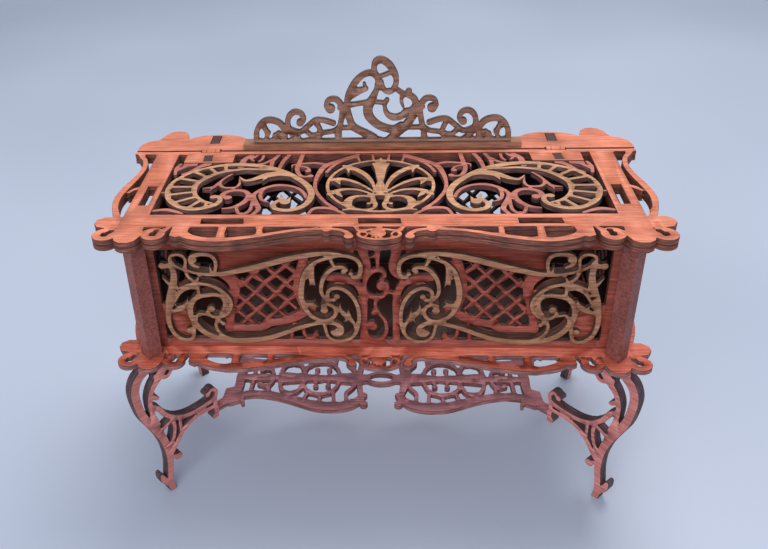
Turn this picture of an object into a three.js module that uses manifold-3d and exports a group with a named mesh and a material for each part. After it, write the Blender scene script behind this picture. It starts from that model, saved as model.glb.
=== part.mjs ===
// A fretwork casket cut from thin plywood: a hinged lid of two layers, pierced walls with scroll overlays,
// corner posts, four openwork legs on the diagonals, a stretcher shelf and an upright crest behind the lid.
// Millimetres, +Z up, the front faces -Y, and the origin is the middle of the footprint, on the floor.

import * as THREE from "three";
import { mergeVertices } from "three/addons/utils/BufferGeometryUtils.js";
import Module from "manifold-3d";

// Stock and fits
const sheet = 3;
const gap = 0.3;
const ribbon = 3.2;
const overrun = 2;

// Heights
const legHeight = 101.7;
const shelfLevel = 44;
const wallHeight = 75;
const crestHeight = 52.5;

// Lid window, borders and rim
const windowHalfWidth = 124;
const windowHalfDepth = 39;
const sideBorder = 14;
const frontBorder = 14;
const rearBorder = 4;
const sideRim = 14;
const frontRim = 16;
const seamGap = 1.8;
const stripDepth = 31;

// Walls, posts and legs. The lid window's edge lies this far inside the walls' outer faces.
const wallOutset = 7.6;
const wallDepthOutset = 8.6;
const postSide = 8.6;
const postInset = 0.7;
const postStandoff = 7.4;
const legPlies = 2;
const legReachIn = 37;
const legReachOut = 19;
const shelfTabLength = 9;

// Lattice
const latticePitch = 12.1;
const latticeBar = 2.1;

// Crest and plank
const crestHalfWidth = 78;
const plankHalfWidth = 85;
const plankDepth = 9;
const plankSetback = 1;
const crestSetback = 2.8;

// Hinges
const hingeInset = 19;
const leafWidth = 5.1;
const cheekWidth = 2.6;
const pinRadius = 0.8;
const knuckleWall = 0.8;
const axisDrop = 0.6;
const lidLeafStart = 28.8;
const lidLeafTab = 8.7;
const stripLeafStart = 55;
const stripLeafTab = 12.5;

// Colours
const red = 0xb4604a;
const paleRed = 0xd98a70;
const tan = 0xb98a5c;
const char = 0x4a2c22;
const steel = 0x9a958c;

// Levels that follow from the heights
const baseFoot = legHeight + gap;
const baseTop = baseFoot + sheet;
const wallFoot = baseTop + gap;
const wallTop = wallFoot + wallHeight;
const panelFoot = wallTop + gap;
const frameFoot = panelFoot + sheet + gap;
const frameTop = frameFoot + sheet;
const plankFoot = frameTop + gap;
const crestFoot = plankFoot + sheet + gap;

// Places in plan that follow from the sizes
const wallHalfWidth = windowHalfWidth + wallOutset;
const wallHalfDepth = windowHalfDepth + wallDepthOutset;
const hingePlace = windowHalfWidth - hingeInset;
const borderHalfWidth = windowHalfWidth + sideBorder;
const outerHalfWidth = borderHalfWidth + sideRim;
const borderFront = windowHalfDepth + frontBorder;
const outerFront = borderFront + frontRim;
const lidRear = windowHalfDepth + rearBorder;
const stripFront = lidRear + seamGap;
const stripRear = stripFront + stripDepth;
const axisPlace = lidRear + seamGap / 2;
const axisLevel = frameTop - axisDrop;
const postX = wallHalfWidth - postInset;
const postY = wallHalfDepth + postStandoff;
const knuckleRadius = pinRadius + gap + knuckleWall;

// Turns
const quarterTurn = Math.PI / 2;
const eighthTurn = Math.PI / 4;

// Rounds: how many sides a ball, a ring and a pin have
const ballSides = 6;
const ringSides = 8;
const pinSides = 10;

// How many steps a band takes for each stretch between two of its points
const stepShare = 0.62;

// The ornament is drawn on squared paper. Its points are shares, one drawing unit to the paper, and a ruler
// stretches the paper to the real sizes: each mark of the paper falls on a real length, evenly between marks.
function ruler(markShares, marks) {
  return (share) => {
    let next = 1;
    while (next < marks.length - 1 && share > markShares[next]) {
      next += 1;
    }
    const run = markShares[next] - markShares[next - 1];
    const part = (share - markShares[next - 1]) / run;
    return marks[next - 1] + (marks[next] - marks[next - 1]) * part;
  };
}

// A ruler that runs alike to both sides of the middle
function evenRuler(markShares, marks) {
  const half = ruler(markShares, marks);
  return (share) => Math.sign(share) * half(Math.abs(share));
}

const planAcross = evenRuler([0, 1.24, 1.38, 1.52], [0, windowHalfWidth, borderHalfWidth, outerHalfWidth]);
const planUp = ruler(
  [-0.69, -0.53, -0.39, 0.39, 0.43, 0.448, 0.758],
  [-outerFront, -borderFront, -windowHalfDepth, windowHalfDepth, lidRear, stripFront, stripRear],
);
const wallAcross = evenRuler([0, 1.316], [0, wallHalfWidth]);
const wallUp = ruler([0, 0.75], [0, wallHeight]);
const sideEndShare = 0.443;
const sideAcross = evenRuler([0, sideEndShare], [0, wallHalfDepth - sheet - gap]);
const legAcross = ruler([-0.37, 0, 0.19], [-legReachIn, 0, legReachOut]);
const legUp = ruler([0, 0.44, 1.017], [0, shelfLevel, legHeight]);
const crestAcross = evenRuler([0, 0.78], [0, crestHalfWidth]);
const crestUp = ruler([0, 0.525], [0, crestHeight]);

const shelfCornerX = postX - legReachIn / Math.SQRT2;
const shelfCornerY = postY - legReachIn / Math.SQRT2;
const shelfAcross = evenRuler([0, 1.047], [0, shelfCornerX]);
const shelfUp = evenRuler([0, 0.288], [0, shelfCornerY]);

// Lid rim, right half: the front rail, the side rail, the arm and the rear horn, then small links
const rimBandShares = [
  [[1, 1.2, 1.5, 1.6, 1.8, 2.1, 2.4, 3, 2.6], [0.24, -0.54], [0.3, -0.56], [0.41, -0.57], [0.51, -0.59],
    [0.61, -0.615], [0.71, -0.635], [0.81, -0.65], [0.91, -0.645], [0.99, -0.615], [1.04, -0.57]],
  [[1, 1.9, 2.6, 2.2, 1.7, 2.4], [1.38, 0.16], [1.425, 0], [1.44, -0.13], [1.455, -0.28], [1.435, -0.385],
    [1.46, -0.46]],
  [[1.6, 1.7, 2.2, 1.6], [1.37, 0.14], [1.43, 0.24], [1.47, 0.33], [1.475, 0.4]],
  [[1, 1.2], [1.36, 0.41], [1.48, 0.41]],
  [[1.5, 1.3], [0.825, -0.52], [0.825, -0.63]],
  [[1.2, 1.2], [0.63, -0.52], [0.63, -0.6]],
  [[0.8, 1, 0.8], [0.27, -0.55], [0.2, -0.59], [0.12, -0.6]],
  [[1.6, 1.6], [1.4, -0.12], [1.37, -0.14]],
  [[1.6, 2.4], [1.36, -0.47], [1.47, -0.47]],
];
const rimAreaShares = [
  [[1.235, -0.5], [1.23, -0.66], [1.26, -0.69], [1.34, -0.69], [1.37, -0.66], [1.375, -0.5]],
];
const rimBallShares = [
  [1.472, -0.468, 1.45],
  [0.156, -0.625, 0.95],
];
const rimRingShares = [
  [1.43, -0.61, 2.1, 0.7],
  [1.185, -0.603, 1.9, 0.65],
];
const medallionShares = [0, -0.603, 0.118, 0.063, 0.5];
const medallionDiscShares = [0, -0.603, 1.4];
const medallionLinkShares = [[0.6, 0.6], [0, -0.52], [0, -0.66]];
const hingeBlockShares = [[0.88, 0.27], [1.18, 0.27], [1.18, 0.4], [0.88, 0.4]];

// Slots in the lid frame: half length and place along the border, in drawing units
const frontSlotShares = [0.715, 0.95];
const midSlotShare = 0.115;
const borderSlotShares = [-0.492, -0.435];
const sideSlotShares = [-0.285, -0.045];
const sideSlotAcrossShares = [1.275, 1.33];

// Red scrollwork in the lower lid layer, right half
const lidRedBandShares = [
  [[1, 1.2, 1.2, 1.1], [0.29, 0.24], [0.327, 0.153], [0.366, -0.024], [0.327, -0.224], [0.24, -0.33],
    [0.23, -0.41]],
  [[1, 1.2, 1.2, 1], [0.63, -0.06], [0.72, -0.05], [0.8, -0.045], [0.87, -0.1], [0.88, -0.19], [0.83, -0.28],
    [0.75, -0.315], [0.66, -0.3]],
  [[1.2, 1.4, 1.4, 1.2], [0.665, -0.02], [0.665, -0.18], [0.66, -0.3], [0.69, -0.41]],
  [[0.9, 1.1, 1.1, 0.9], [0.42, -0.12], [0.47, -0.07], [0.527, -0.036], [0.616, -0.047], [0.665, -0.12]],
  [[1, 1.1, 1], [0.84, 0.41], [0.8, 0.29], [0.75, 0.28], [0.72, 0.31], [0.71, 0.41]],
  [[1, 1.1, 1], [0.65, 0.41], [0.62, 0.29], [0.58, 0.27], [0.55, 0.3], [0.54, 0.41]],
  [[1, 1.1, 1], [0.48, 0.41], [0.45, 0.27], [0.41, 0.22], [0.36, 0.21], [0.3, 0.25]],
  [[1, 1.1, 1], [0.93, 0.2], [0.9, 0.12], [0.84, 0.1], [0.8, 0.04], [0.79, -0.05]],
  [[1, 1], [1.19, -0.07], [1.26, -0.07]],
  [[1, 1], [1, 0.22], [1, 0.3]],
  [[1, 1], [0.56, 0.15], [0.6, 0.28]],
];
const lidRedMiddleShares = [[1.4, 0.8, 1, 1.4], [0, 0.41], [0, 0.2], [0, -0.3], [0, -0.41]];
const lidRedBallShares = [
  [0.78, -0.36, 0.8],
];
const lidRedHookShares = [
  [[0.9, 1, 0.8], [0.69, -0.37], [0.74, -0.385], [0.78, -0.36]],
];

// Overlay scroll in the lid window, right half: outer band, inner arc and leaf branch
const scrollBandShares = [
  [[0.7, 1.1, 1.3, 1.3, 1.3, 1.2, 1.2, 1.1, 0.8], [0.87, -0.27], [0.92, -0.313], [1.004, -0.33],
    [1.093, -0.302], [1.17, -0.213], [1.207, -0.069], [1.188, 0.042], [1.138, 0.131], [1.07, 0.192],
    [0.982, 0.233], [0.849, 0.244], [0.716, 0.226], [0.604, 0.181], [0.504, 0.109], [0.427, 0.02],
    [0.388, -0.091], [0.388, -0.202], [0.416, -0.275], [0.46, -0.319], [0.516, -0.336], [0.572, -0.308],
    [0.584, -0.247], [0.55, -0.205]],
  [[0.7, 0.8, 1, 1, 0.9, 0.9], [0.9, -0.19], [0.888, -0.235], [0.938, -0.258], [0.993, -0.224],
    [1.038, -0.136], [1.054, -0.047], [1.032, 0.053], [0.971, 0.131], [0.893, 0.181], [0.782, 0.198],
    [0.66, 0.19]],
  [[1, 1.3, 1.1, 0.9, 0.5], [0.6, 0.17], [0.63, 0.12], [0.67, 0.1], [0.71, 0.06], [0.76, 0.03], [0.8, 0.05]],
];
const scrollBallShares = [
  [0.92, -0.18, 0.9],
  [0.515, -0.222, 1.1],
];
const scrollLeafShares = [
  [[1.2, 0.1], [0.52, -0.21], [0.555, -0.16]],
  [[1.2, 0.1], [0.51, -0.21], [0.505, -0.15]],
  [[1, 0.9], [0.55, -0.205], [0.515, -0.222]],
];
const spokeWidthShares = [0.55, 0.55];
const spokeShares = [
  [[0.915, 0.235], [0.905, 0.187]],
  [[1.005, 0.22], [0.965, 0.14]],
  [[1.065, 0.185], [1, 0.1]],
  [[1.125, 0.13], [1.03, 0.06]],
  [[1.18, 0.035], [1.05, -0.005]],
  [[1.2, -0.062], [1.055, -0.068]],
  [[1.18, -0.17], [1.045, -0.125]],
  [[1.13, -0.26], [1.018, -0.195]],
  [[1.07, -0.305], [0.98, -0.235]],
  [[1, -0.32], [0.965, -0.24]],
];

// Rosette in the middle of the lid window: its ring, then the petals of the right half
const rosetteRingShares = [0, -0.02, 0.3, 0.32, 0.8];
const rosetteHubShares = [0, -0.16, 1.3];
const rosetteMiddleShares = [[0.6, 1, 1.6, 2.2, 1.6], [0, -0.16], [0, -0.02], [0, 0.12], [0, 0.24], [0, 0.31]];
const rosetteBandShares = [
  [[0.5, 0.8, 1.2, 1.2, 0.7], [0.02, -0.14], [0.05, -0.03], [0.09, 0.1], [0.15, 0.19], [0.215, 0.19]],
  [[0.5, 0.8, 1.1, 0.8], [0.03, -0.14], [0.08, -0.04], [0.15, 0.03], [0.22, 0.06], [0.275, 0.05]],
  [[0.5, 0.8, 1.1, 0.8], [0.03, -0.15], [0.11, -0.11], [0.19, -0.085], [0.25, -0.1], [0.29, -0.14]],
  [[0.8, 1.1, 1.3, 1.1, 0.8], [0.02, -0.18], [0.1, -0.185], [0.18, -0.22], [0.2, -0.275], [0.16, -0.325],
    [0.1, -0.32], [0.075, -0.27]],
  [[1, 1], [0.16, -0.32], [0.19, -0.3]],
];
const rosetteBallShares = [
  [0.255, 0.01, 0.9],
  [0.235, -0.145, 0.9],
  [0.085, -0.265, 0.8],
  [0.215, 0.185, 0.9],
];
const rosetteLinkShares = [
  [[0.7, 0.7], [0.27, 0.05], [0.255, 0.01]],
  [[0.7, 0.7], [0.25, -0.1], [0.235, -0.145]],
];

// Base plate and rear strip: the right half of the outer edge, from the front middle round to the rear
const edgeFrontShares = [
  [0, -0.66], [0.08, -0.65], [0.12, -0.615], [0.175, -0.6], [0.227, -0.582], [0.304, -0.577],
  [0.407, -0.589], [0.508, -0.614], [0.608, -0.639], [0.707, -0.665], [0.807, -0.682], [0.909, -0.682],
  [0.99, -0.67], [1.07, -0.644], [1.1, -0.6], [1.13, -0.65], [1.175, -0.665], [1.22, -0.64],
  [1.26, -0.69], [1.34, -0.69], [1.375, -0.65], [1.4, -0.665], [1.45, -0.675], [1.495, -0.62],
  [1.485, -0.56], [1.45, -0.53], [1.5, -0.51], [1.52, -0.47], [1.5, -0.43], [1.46, -0.385],
  [1.49, -0.28], [1.49, -0.17], [1.46, -0.01], [1.42, 0.13], [1.46, 0.26], [1.51, 0.33], [1.51, 0.4],
];
const edgeRearShares = [
  [1.52, 0.448], [1.52, 0.53], [1.48, 0.59], [1.4, 0.61], [1.385, 0.7], [1.35, 0.75], [1.28, 0.75],
  [1.24, 0.69], [1.225, 0.62], [1.18, 0.67], [1.04, 0.7], [0.9, 0.67], [0.8, 0.62], [0.6, 0.64],
  [0.4, 0.69], [0.2, 0.65], [0, 0.66],
];
const baseSlitShares = [[1.09, 1.194], [0.12, 0.234]];
const baseSlitDepth = 0.8;

// Front and rear wall: the opening of each lattice window, then the large opening beside the post
const latticeAreaShares = [
  [0.44, 0.61], [0.62, 0.565], [0.8, 0.51], [0.77, 0.44], [0.765, 0.37], [0.785, 0.28], [0.82, 0.19],
  [0.75, 0.172], [0.64, 0.2], [0.54, 0.24], [0.44, 0.29], [0.48, 0.36], [0.49, 0.43], [0.48, 0.5],
];
const latticeMiddleShares = [0.7, 0.509];
const wallOpenShares = [
  [[1.07, 0.33], [1.07, 0.1], [1, 0.07], [0.95, 0.1], [0.89, 0.2], [0.87, 0.3], [0.89, 0.42],
    [0.95, 0.47], [1.05, 0.49], [1.13, 0.44], [1.13, 0.33]],
  [[1.19, 0.52], [1.23, 0.52], [1.23, 0.08], [1.19, 0.08]],
  [[1.16, 0.64], [1.08, 0.655], [0.93, 0.65], [0.9, 0.6], [0.95, 0.54], [1.08, 0.54], [1.15, 0.57]],
  [[0.42, 0.6], [0.35, 0.65], [0.2, 0.65], [0.13, 0.58], [0.15, 0.52], [0.25, 0.46], [0.21, 0.42],
    [0.14, 0.38], [0.125, 0.2], [0.17, 0.09], [0.25, 0.07], [0.33, 0.1], [0.33, 0.22], [0.4, 0.27],
    [0.44, 0.36], [0.43, 0.48]],
  [[0.36, 0.18], [0.52, 0.14], [0.7, 0.085], [0.36, 0.075]],
];
const wallMiddleOpenShares = [
  [0.08, 0.66], [0.085, 0.5], [0.08, 0.4], [0.09, 0.2], [0.09, 0.07], [-0.09, 0.07], [-0.09, 0.2],
  [-0.08, 0.4], [-0.085, 0.5], [-0.08, 0.66],
];
const wallLyreShares = [
  [[1, 1.1, 1, 0.9], [0.09, 0.45], [0.06, 0.49], [0.02, 0.5], [-0.03, 0.48], [-0.06, 0.44], [-0.04, 0.39],
    [0, 0.375], [0.04, 0.39]],
  [[1, 1.1, 1, 0.9], [-0.09, 0.15], [-0.06, 0.19], [-0.02, 0.2], [0.03, 0.18], [0.06, 0.14], [0.04, 0.09],
    [0, 0.065]],
  [[1, 1.1, 1], [0, 0.39], [-0.035, 0.33], [-0.02, 0.27], [0.03, 0.24], [0.02, 0.19]],
  [[1, 1.1, 1], [0.02, 0.5], [0.03, 0.56], [0, 0.61], [0, 0.67]],
];
const wallCurlShares = [
  [[0.9, 1, 0.9], [0.36, 0.17], [0.43, 0.13], [0.46, 0.1], [0.43, 0.065]],
  [[0.9, 0.9], [0.52, 0.06], [0.52, 0.15]],
];

// Overlay on the front wall, right half
const overlayBandShares = [
  [[1.1, 1, 0.9, 1.1, 1.3, 1.2, 1, 0.9, 0.8], [1.195, 0.575], [1.155, 0.565], [1.13, 0.525],
    [1.135, 0.465], [1.155, 0.41], [1.18, 0.345], [1.195, 0.27], [1.2, 0.19], [1.18, 0.115],
    [1.13, 0.075], [1.08, 0.085], [1.06, 0.125]],
  [[0.7, 0.9, 0.9, 0.7], [1.185, 0.27], [1.155, 0.35], [1.12, 0.405], [1.075, 0.43], [1.02, 0.435]],
  [[0.9, 1, 1.1, 1, 0.9, 1, 1.1, 1.2, 1.2, 1.2, 1.1, 1, 1.1, 1], [1.02, 0.435], [0.965, 0.432],
    [0.91, 0.415], [0.865, 0.375], [0.84, 0.32], [0.85, 0.265], [0.89, 0.225]],
  [[0.9, 1, 1, 0.9, 0.8], [1.06, 0.165], [1.07, 0.23], [1.072, 0.285], [1.045, 0.34], [1, 0.375],
    [0.945, 0.38], [0.9, 0.35], [0.88, 0.3], [0.89, 0.25], [0.93, 0.222]],
  [[0.9, 1.1, 1.3, 1.4, 1.4, 1.3, 1.2, 1.2, 1.2], [0.93, 0.222], [0.985, 0.225], [1.025, 0.2],
    [1.035, 0.15], [1.01, 0.1], [0.95, 0.07], [0.87, 0.06], [0.79, 0.06], [0.7, 0.075], [0.62, 0.105],
    [0.53, 0.14], [0.44, 0.17], [0.36, 0.195], [0.3, 0.2], [0.25, 0.185], [0.22, 0.15], [0.235, 0.115]],
  [[0.6, 0.9, 0.9, 1.1, 1.3, 1.3, 1.2, 1.1, 1], [1.06, 0.53], [1, 0.512], [0.93, 0.507], [0.86, 0.512],
    [0.77, 0.533], [0.68, 0.565], [0.59, 0.597], [0.5, 0.622], [0.41, 0.641], [0.32, 0.648],
    [0.23, 0.64], [0.17, 0.61], [0.135, 0.565], [0.145, 0.52]],
  [[0.9, 1, 1, 0.8], [1.01, 0.6], [1.035, 0.57], [1.04, 0.62], [1.01, 0.64], [0.95, 0.645], [0.905, 0.62],
    [0.895, 0.57], [0.925, 0.525]],
  [[0.8, 0.8, 1, 1.1], [1.075, 0.62], [1.085, 0.57], [1.06, 0.51], [1.01, 0.455], [0.995, 0.4]],
  [[0.7, 0.8, 0.6], [1.105, 0.63], [1.14, 0.6], [1.13, 0.54]],
  [[1, 1.2, 1.4, 1.3, 1.2, 1.1, 1], [0.32, 0.64], [0.37, 0.605], [0.41, 0.55], [0.43, 0.485],
    [0.435, 0.42], [0.425, 0.355], [0.395, 0.29], [0.345, 0.245], [0.29, 0.245], [0.262, 0.29],
    [0.285, 0.33]],
  [[0.9, 1, 1, 0.9], [0.215, 0.55], [0.245, 0.565], [0.29, 0.555], [0.325, 0.505], [0.335, 0.45],
    [0.325, 0.395], [0.272, 0.368]],
  [[0.9, 1, 1.2, 1.2, 1.1, 1, 0.9], [0.27, 0.39], [0.295, 0.42], [0.27, 0.45], [0.225, 0.45], [0.17, 0.42],
    [0.14, 0.365], [0.125, 0.29], [0.13, 0.21], [0.155, 0.145], [0.195, 0.095], [0.25, 0.07],
    [0.3, 0.085], [0.32, 0.13], [0.29, 0.165]],
];
const overlayBallShares = [
  [1.2, 0.55, 0.9],
  [1.085, 0.13, 0.8],
  [0.955, 0.275, 0.9],
  [0.99, 0.595, 0.6],
  [0.315, 0.295, 1],
  [0.205, 0.545, 0.9],
  [0.255, 0.38, 0.9],
  [0.16, 0.525, 0.8],
  [0.26, 0.14, 1.1],
];
const overlayLeafShares = [
  [[1.4, 0.9, 0.1], [1.19, 0.24], [1.12, 0.265], [1.085, 0.34]],
  [[1.2, 1.5, 0.1], [0.4, 0.56], [0.375, 0.49], [0.355, 0.41]],
  [[0.9, 0.7], [0.985, 0.226], [0.955, 0.275]],
  [[1.2, 1.2, 0.1], [0.135, 0.18], [0.19, 0.24], [0.235, 0.31]],
  [[1, 0.1], [0.17, 0.22], [0.19, 0.29]],
  [[0.9, 0.8], [0.285, 0.33], [0.315, 0.295]],
  [[0.9, 0.8], [0.29, 0.165], [0.26, 0.14]],
  [[1, 0.1], [0.42, 0.36], [0.38, 0.34]],
  [[0.7, 0.7], [1.04, 0.6], [1.105, 0.62]],
];

// Side wall: a lattice window in the middle and a pair of scrolls on each side of it
const sideLatticeShares = [
  [0, 0.58], [0.1, 0.55], [0.16, 0.48], [0.17, 0.38], [0.15, 0.29], [0.12, 0.22], [0, 0.18],
];
const sideLatticeMiddleShares = [0, 0.37];
const sideOpenShares = [
  [[0.39, 0.62], [0.39, 0.12], [0.27, 0.12], [0.25, 0.2], [0.24, 0.3], [0.25, 0.42], [0.22, 0.55],
    [0.24, 0.62]],
];
const sideBandShares = [
  [[1, 1.2, 1.2, 1], [0.26, 0.64], [0.32, 0.58], [0.36, 0.52], [0.35, 0.44], [0.3, 0.4], [0.28, 0.44],
    [0.31, 0.48]],
  [[1, 1.2, 1.2, 1], [0.26, 0.1], [0.33, 0.15], [0.37, 0.22], [0.35, 0.3], [0.3, 0.33], [0.275, 0.29],
    [0.305, 0.25]],
  [[1, 1, 1], [0.35, 0.44], [0.365, 0.37], [0.35, 0.3]],
  [[1, 1], [0.365, 0.37], [0.41, 0.37]],
  [[1, 1], [0.29, 0.4], [0.22, 0.4]],
  [[1, 1], [0.29, 0.33], [0.22, 0.32]],
];
const sideBallShares = [
  [0.318, 0.48, 0.8],
  [0.31, 0.25, 0.8],
];
const sideOverlayShares = [
  [[0.8, 1.2, 1.4, 1.2, 0.9, 0.8], [0.1, 0.63], [0.17, 0.6], [0.23, 0.53], [0.245, 0.42], [0.225, 0.3],
    [0.23, 0.2], [0.17, 0.12], [0.05, 0.07]],
  [[1.2, 1.1, 1], [0, 0.67], [0.06, 0.66], [0.1, 0.63], [0.09, 0.585]],
  [[1.2, 1.1, 1], [0, 0.06], [0.05, 0.07], [0.08, 0.1], [0.06, 0.14]],
  [[1, 1.2, 1, 0.8], [0.24, 0.5], [0.3, 0.52], [0.35, 0.49], [0.35, 0.44], [0.31, 0.43]],
  [[1, 1.2, 1, 0.8], [0.23, 0.24], [0.29, 0.21], [0.35, 0.23], [0.355, 0.28], [0.315, 0.3]],
];
const sideOverlayBallShares = [
  [0.305, 0.435, 0.8],
  [0.31, 0.3, 0.8],
];

// Leg: out is positive, from the middle of the corner post; up from the floor
const legBandShares = [
  [[1.8, 2.1, 2.3, 2.2, 2, 1.9, 1.8, 1.8, 1.7, 1.6, 1.5], [0.05, 0.985], [0.12, 0.94], [0.15, 0.86],
    [0.14, 0.75], [0.115, 0.64], [0.07, 0.54], [0.03, 0.44], [-0.005, 0.33], [-0.012, 0.22],
    [0.005, 0.12], [0.03, 0.04]],
  [[2.4, 1.5, 1.2, 1.4, 1.6], [-0.06, 0.97], [0.02, 0.9], [0.055, 0.8], [0.055, 0.68], [0.03, 0.56]],
  [[1.5, 1.2, 1.1, 1.1, 1.2], [0.06, 0.64], [0, 0.56], [-0.07, 0.505], [-0.16, 0.478], [-0.26, 0.477],
    [-0.35, 0.5]],
  [[1.4, 1.3, 1.2, 1], [-0.005, 0.27], [-0.04, 0.34], [-0.09, 0.41], [-0.15, 0.455], [-0.21, 0.475]],
  [[1.1, 1, 0.8], [-0.35, 0.5], [-0.36, 0.56], [-0.33, 0.59], [-0.3, 0.565]],
  [[1.1, 1, 0.8], [-0.35, 0.48], [-0.36, 0.42], [-0.34, 0.39]],
  [[1, 0.9], [-0.02, 0.25], [-0.06, 0.215]],
  [[1.2, 1.2], [0.13, 0.62], [0.03, 0.6]],
  [[1, 1], [-0.07, 0.5], [-0.08, 0.4]],
  [[1.1, 0.8], [0.02, 0.12], [0.085, 0.105]],
  [[1, 1], [0.04, 0.46], [0.03, 0.57]],
  [[1.2, 1, 0.7], [0.02, 0.9], [-0.05, 0.86], [-0.09, 0.9]],
];
const legAreaShares = [
  [[-0.13, 0.965], [-0.13, 1.017], [0.12, 1.017], [0.12, 0.965]],
  [[0.01, 0], [0.055, 0], [0.06, 0.05], [0.005, 0.06]],
];
const legBallShares = [
  [-0.34, 0.39, 0.9],
  [-0.06, 0.213, 0.9],
  [-0.095, 0.91, 0.8],
  [-0.3, 0.565, 0.7],
];
const legEndShare = -0.35;
const legEndWidthShare = 1.2;
const legEndBarShares = [[legEndWidthShare, legEndWidthShare], [legEndShare, 0.385], [legEndShare, 0.52]];

// Shelf: a quarter of it, mirrored both ways
const shelfBandShares = [
  [[2.4, 2.5, 2.5, 2.5, 2.4, 2.3, 2.3, 2.4], [0.13, -0.2], [0.19, -0.235], [0.26, -0.265], [0.35, -0.28],
    [0.46, -0.27], [0.57, -0.23], [0.68, -0.185], [0.79, -0.16], [0.9, -0.17], [0.98, -0.2]],
  [[2.2, 2.2, 2.2, 2.2], [0.09, -0.02], [0.22, -0.03], [0.4, -0.02], [0.55, 0], [0.66, 0.035]],
  [[1.4, 1.4, 1.2], [0.15, -0.02], [0.145, -0.12], [0.12, -0.26]],
  [[1.2, 1.1, 1], [0.25, -0.03], [0.27, -0.12], [0.3, -0.26]],
  [[1.2, 1.1, 1.2], [0.6, 0], [0.62, -0.1], [0.66, -0.18]],
  [[1.4, 1.2, 1.4], [0.63, 0.01], [0.78, -0.02], [0.93, 0]],
  [[1.2, 1.2], [0.78, -0.02], [0.8, -0.16]],
  [[2, 2, 2], [0.96, -0.2], [0.93, -0.1], [0.93, 0]],
  [[1.6, 0.8], [0.9, -0.19], [0.88, -0.28]],
];
const shelfAreaShares = [
  [[0.93, -0.15], [0.9, -0.24], [0.96, -0.28], [1.01, -0.26], [1.02, -0.22], [1.01, -0.12], [0.96, -0.1]],
];
const shelfTabWidthShare = 2;
const shelfRingShares = [0, 0, 0.11, 0.075, 1.2];

// Crest, right side scrolls, mirrored to the left
const crestSideShares = [
  [[1.3, 1.2, 1.3, 1.4, 1.3, 1.2], [0.77, 0], [0.765, 0.07], [0.73, 0.125], [0.68, 0.145], [0.62, 0.125],
    [0.59, 0.07], [0.6, 0]],
  [[1.2, 1.1, 0.8], [0.73, 0.12], [0.7, 0.06], [0.72, 0]],
  [[0.9, 1, 0.8], [0.6, 0.03], [0.63, 0.06], [0.655, 0.03]],
  [[1.3, 1.2, 1.2, 1.1, 0.9], [0.5, 0.01], [0.545, 0.05], [0.57, 0.11], [0.56, 0.165], [0.525, 0.195],
    [0.485, 0.185], [0.47, 0.145], [0.49, 0.12]],
  [[1.2, 1.1, 1.2, 1.2], [0.57, 0.09], [0.5, 0.065], [0.45, 0.1], [0.4, 0.14], [0.35, 0.14], [0.29, 0.12]],
  [[1, 1.1, 1], [0.4, 0.14], [0.37, 0.06], [0.4, 0]],
  [[1, 1, 1], [0.47, 0.08], [0.42, 0.04], [0.37, 0.06]],
  [[1.2, 1.2, 1.2, 1.1, 0.9], [0.27, 0], [0.255, 0.08], [0.24, 0.15], [0.235, 0.22], [0.265, 0.27],
    [0.31, 0.27], [0.33, 0.235], [0.31, 0.205]],
  [[1, 1, 1], [0.25, 0.1], [0.29, 0.07], [0.35, 0.06]],
  [[1, 1], [0.25, 0.16], [0.2, 0.14]],
  [[1, 1], [0.26, 0.08], [0.16, 0.07]],
];
const crestSideBallShares = [
  [0.495, 0.125, 0.9],
  [0.305, 0.21, 1],
  [0.65, 0.04, 0.8],
];
const crestFootShares = [[-0.78, 0], [0.78, 0], [0.78, 0.02], [-0.78, 0.02]];

// Crest, the shell and the tip in the middle, not mirrored
const crestMiddleShares = [
  [[1.4, 1.4, 1.4, 1.4, 1.4, 1.4, 1.3], [0.03, 0.01], [-0.1, 0.04], [-0.17, 0.11], [-0.2, 0.2], [-0.19, 0.29],
    [-0.155, 0.37], [-0.1, 0.425], [-0.035, 0.445], [0.01, 0.41]],
  [[1.3, 1.4, 1.4, 1.3, 1.3, 1.3, 1.2], [0.01, 0.41], [-0.015, 0.34], [-0.05, 0.27], [-0.08, 0.21],
    [-0.06, 0.14], [0, 0.08], [0.07, 0.06]],
  [[1.2, 1.3, 1.4, 1.4, 1.3, 1.2, 1.1], [-0.035, 0.44], [-0.02, 0.495], [0.03, 0.51], [0.075, 0.475],
    [0.1, 0.42], [0.1, 0.36], [0.06, 0.325], [0.02, 0.345], [0.01, 0.41]],
  [[1.3, 1.4, 1.4, 1.4, 1.4], [0.1, 0.345], [0.16, 0.33], [0.2, 0.27], [0.21, 0.19], [0.18, 0.12],
    [0.12, 0.06], [0.04, 0.02]],
  [[1.1, 1.3, 1.3, 1.1], [0.01, 0.24], [0.03, 0.17], [0.09, 0.14], [0.16, 0.15], [0.2, 0.2]],
  [[0.9, 1.2, 1.3, 1], [0.1, 0.17], [0.12, 0.22], [0.12, 0.28], [0.14, 0.33]],
  [[0.9, 1.2, 1.2, 1], [-0.185, 0.255], [-0.13, 0.25], [-0.09, 0.28], [-0.045, 0.3]],
  [[1, 1.2, 0.7], [-0.17, 0.34], [-0.11, 0.335], [-0.09, 0.365]],
  [[0.8, 1], [0.03, 0.34], [0.01, 0.24]],
];
const crestMiddleBallShares = [
  [-0.095, 0.365, 0.8],
  [0.01, 0.245, 0.8],
];

const wasm = await Module();
wasm.setup();

function solidOf(geometry) {
  geometry.deleteAttribute("normal");
  geometry.deleteAttribute("uv");
  const merged = mergeVertices(geometry);
  const vertProperties = merged.attributes.position.array;
  const triVerts = new Uint32Array(merged.index.array);
  return new wasm.Manifold(new wasm.Mesh({ numProp: 3, vertProperties, triVerts }));
}

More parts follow.
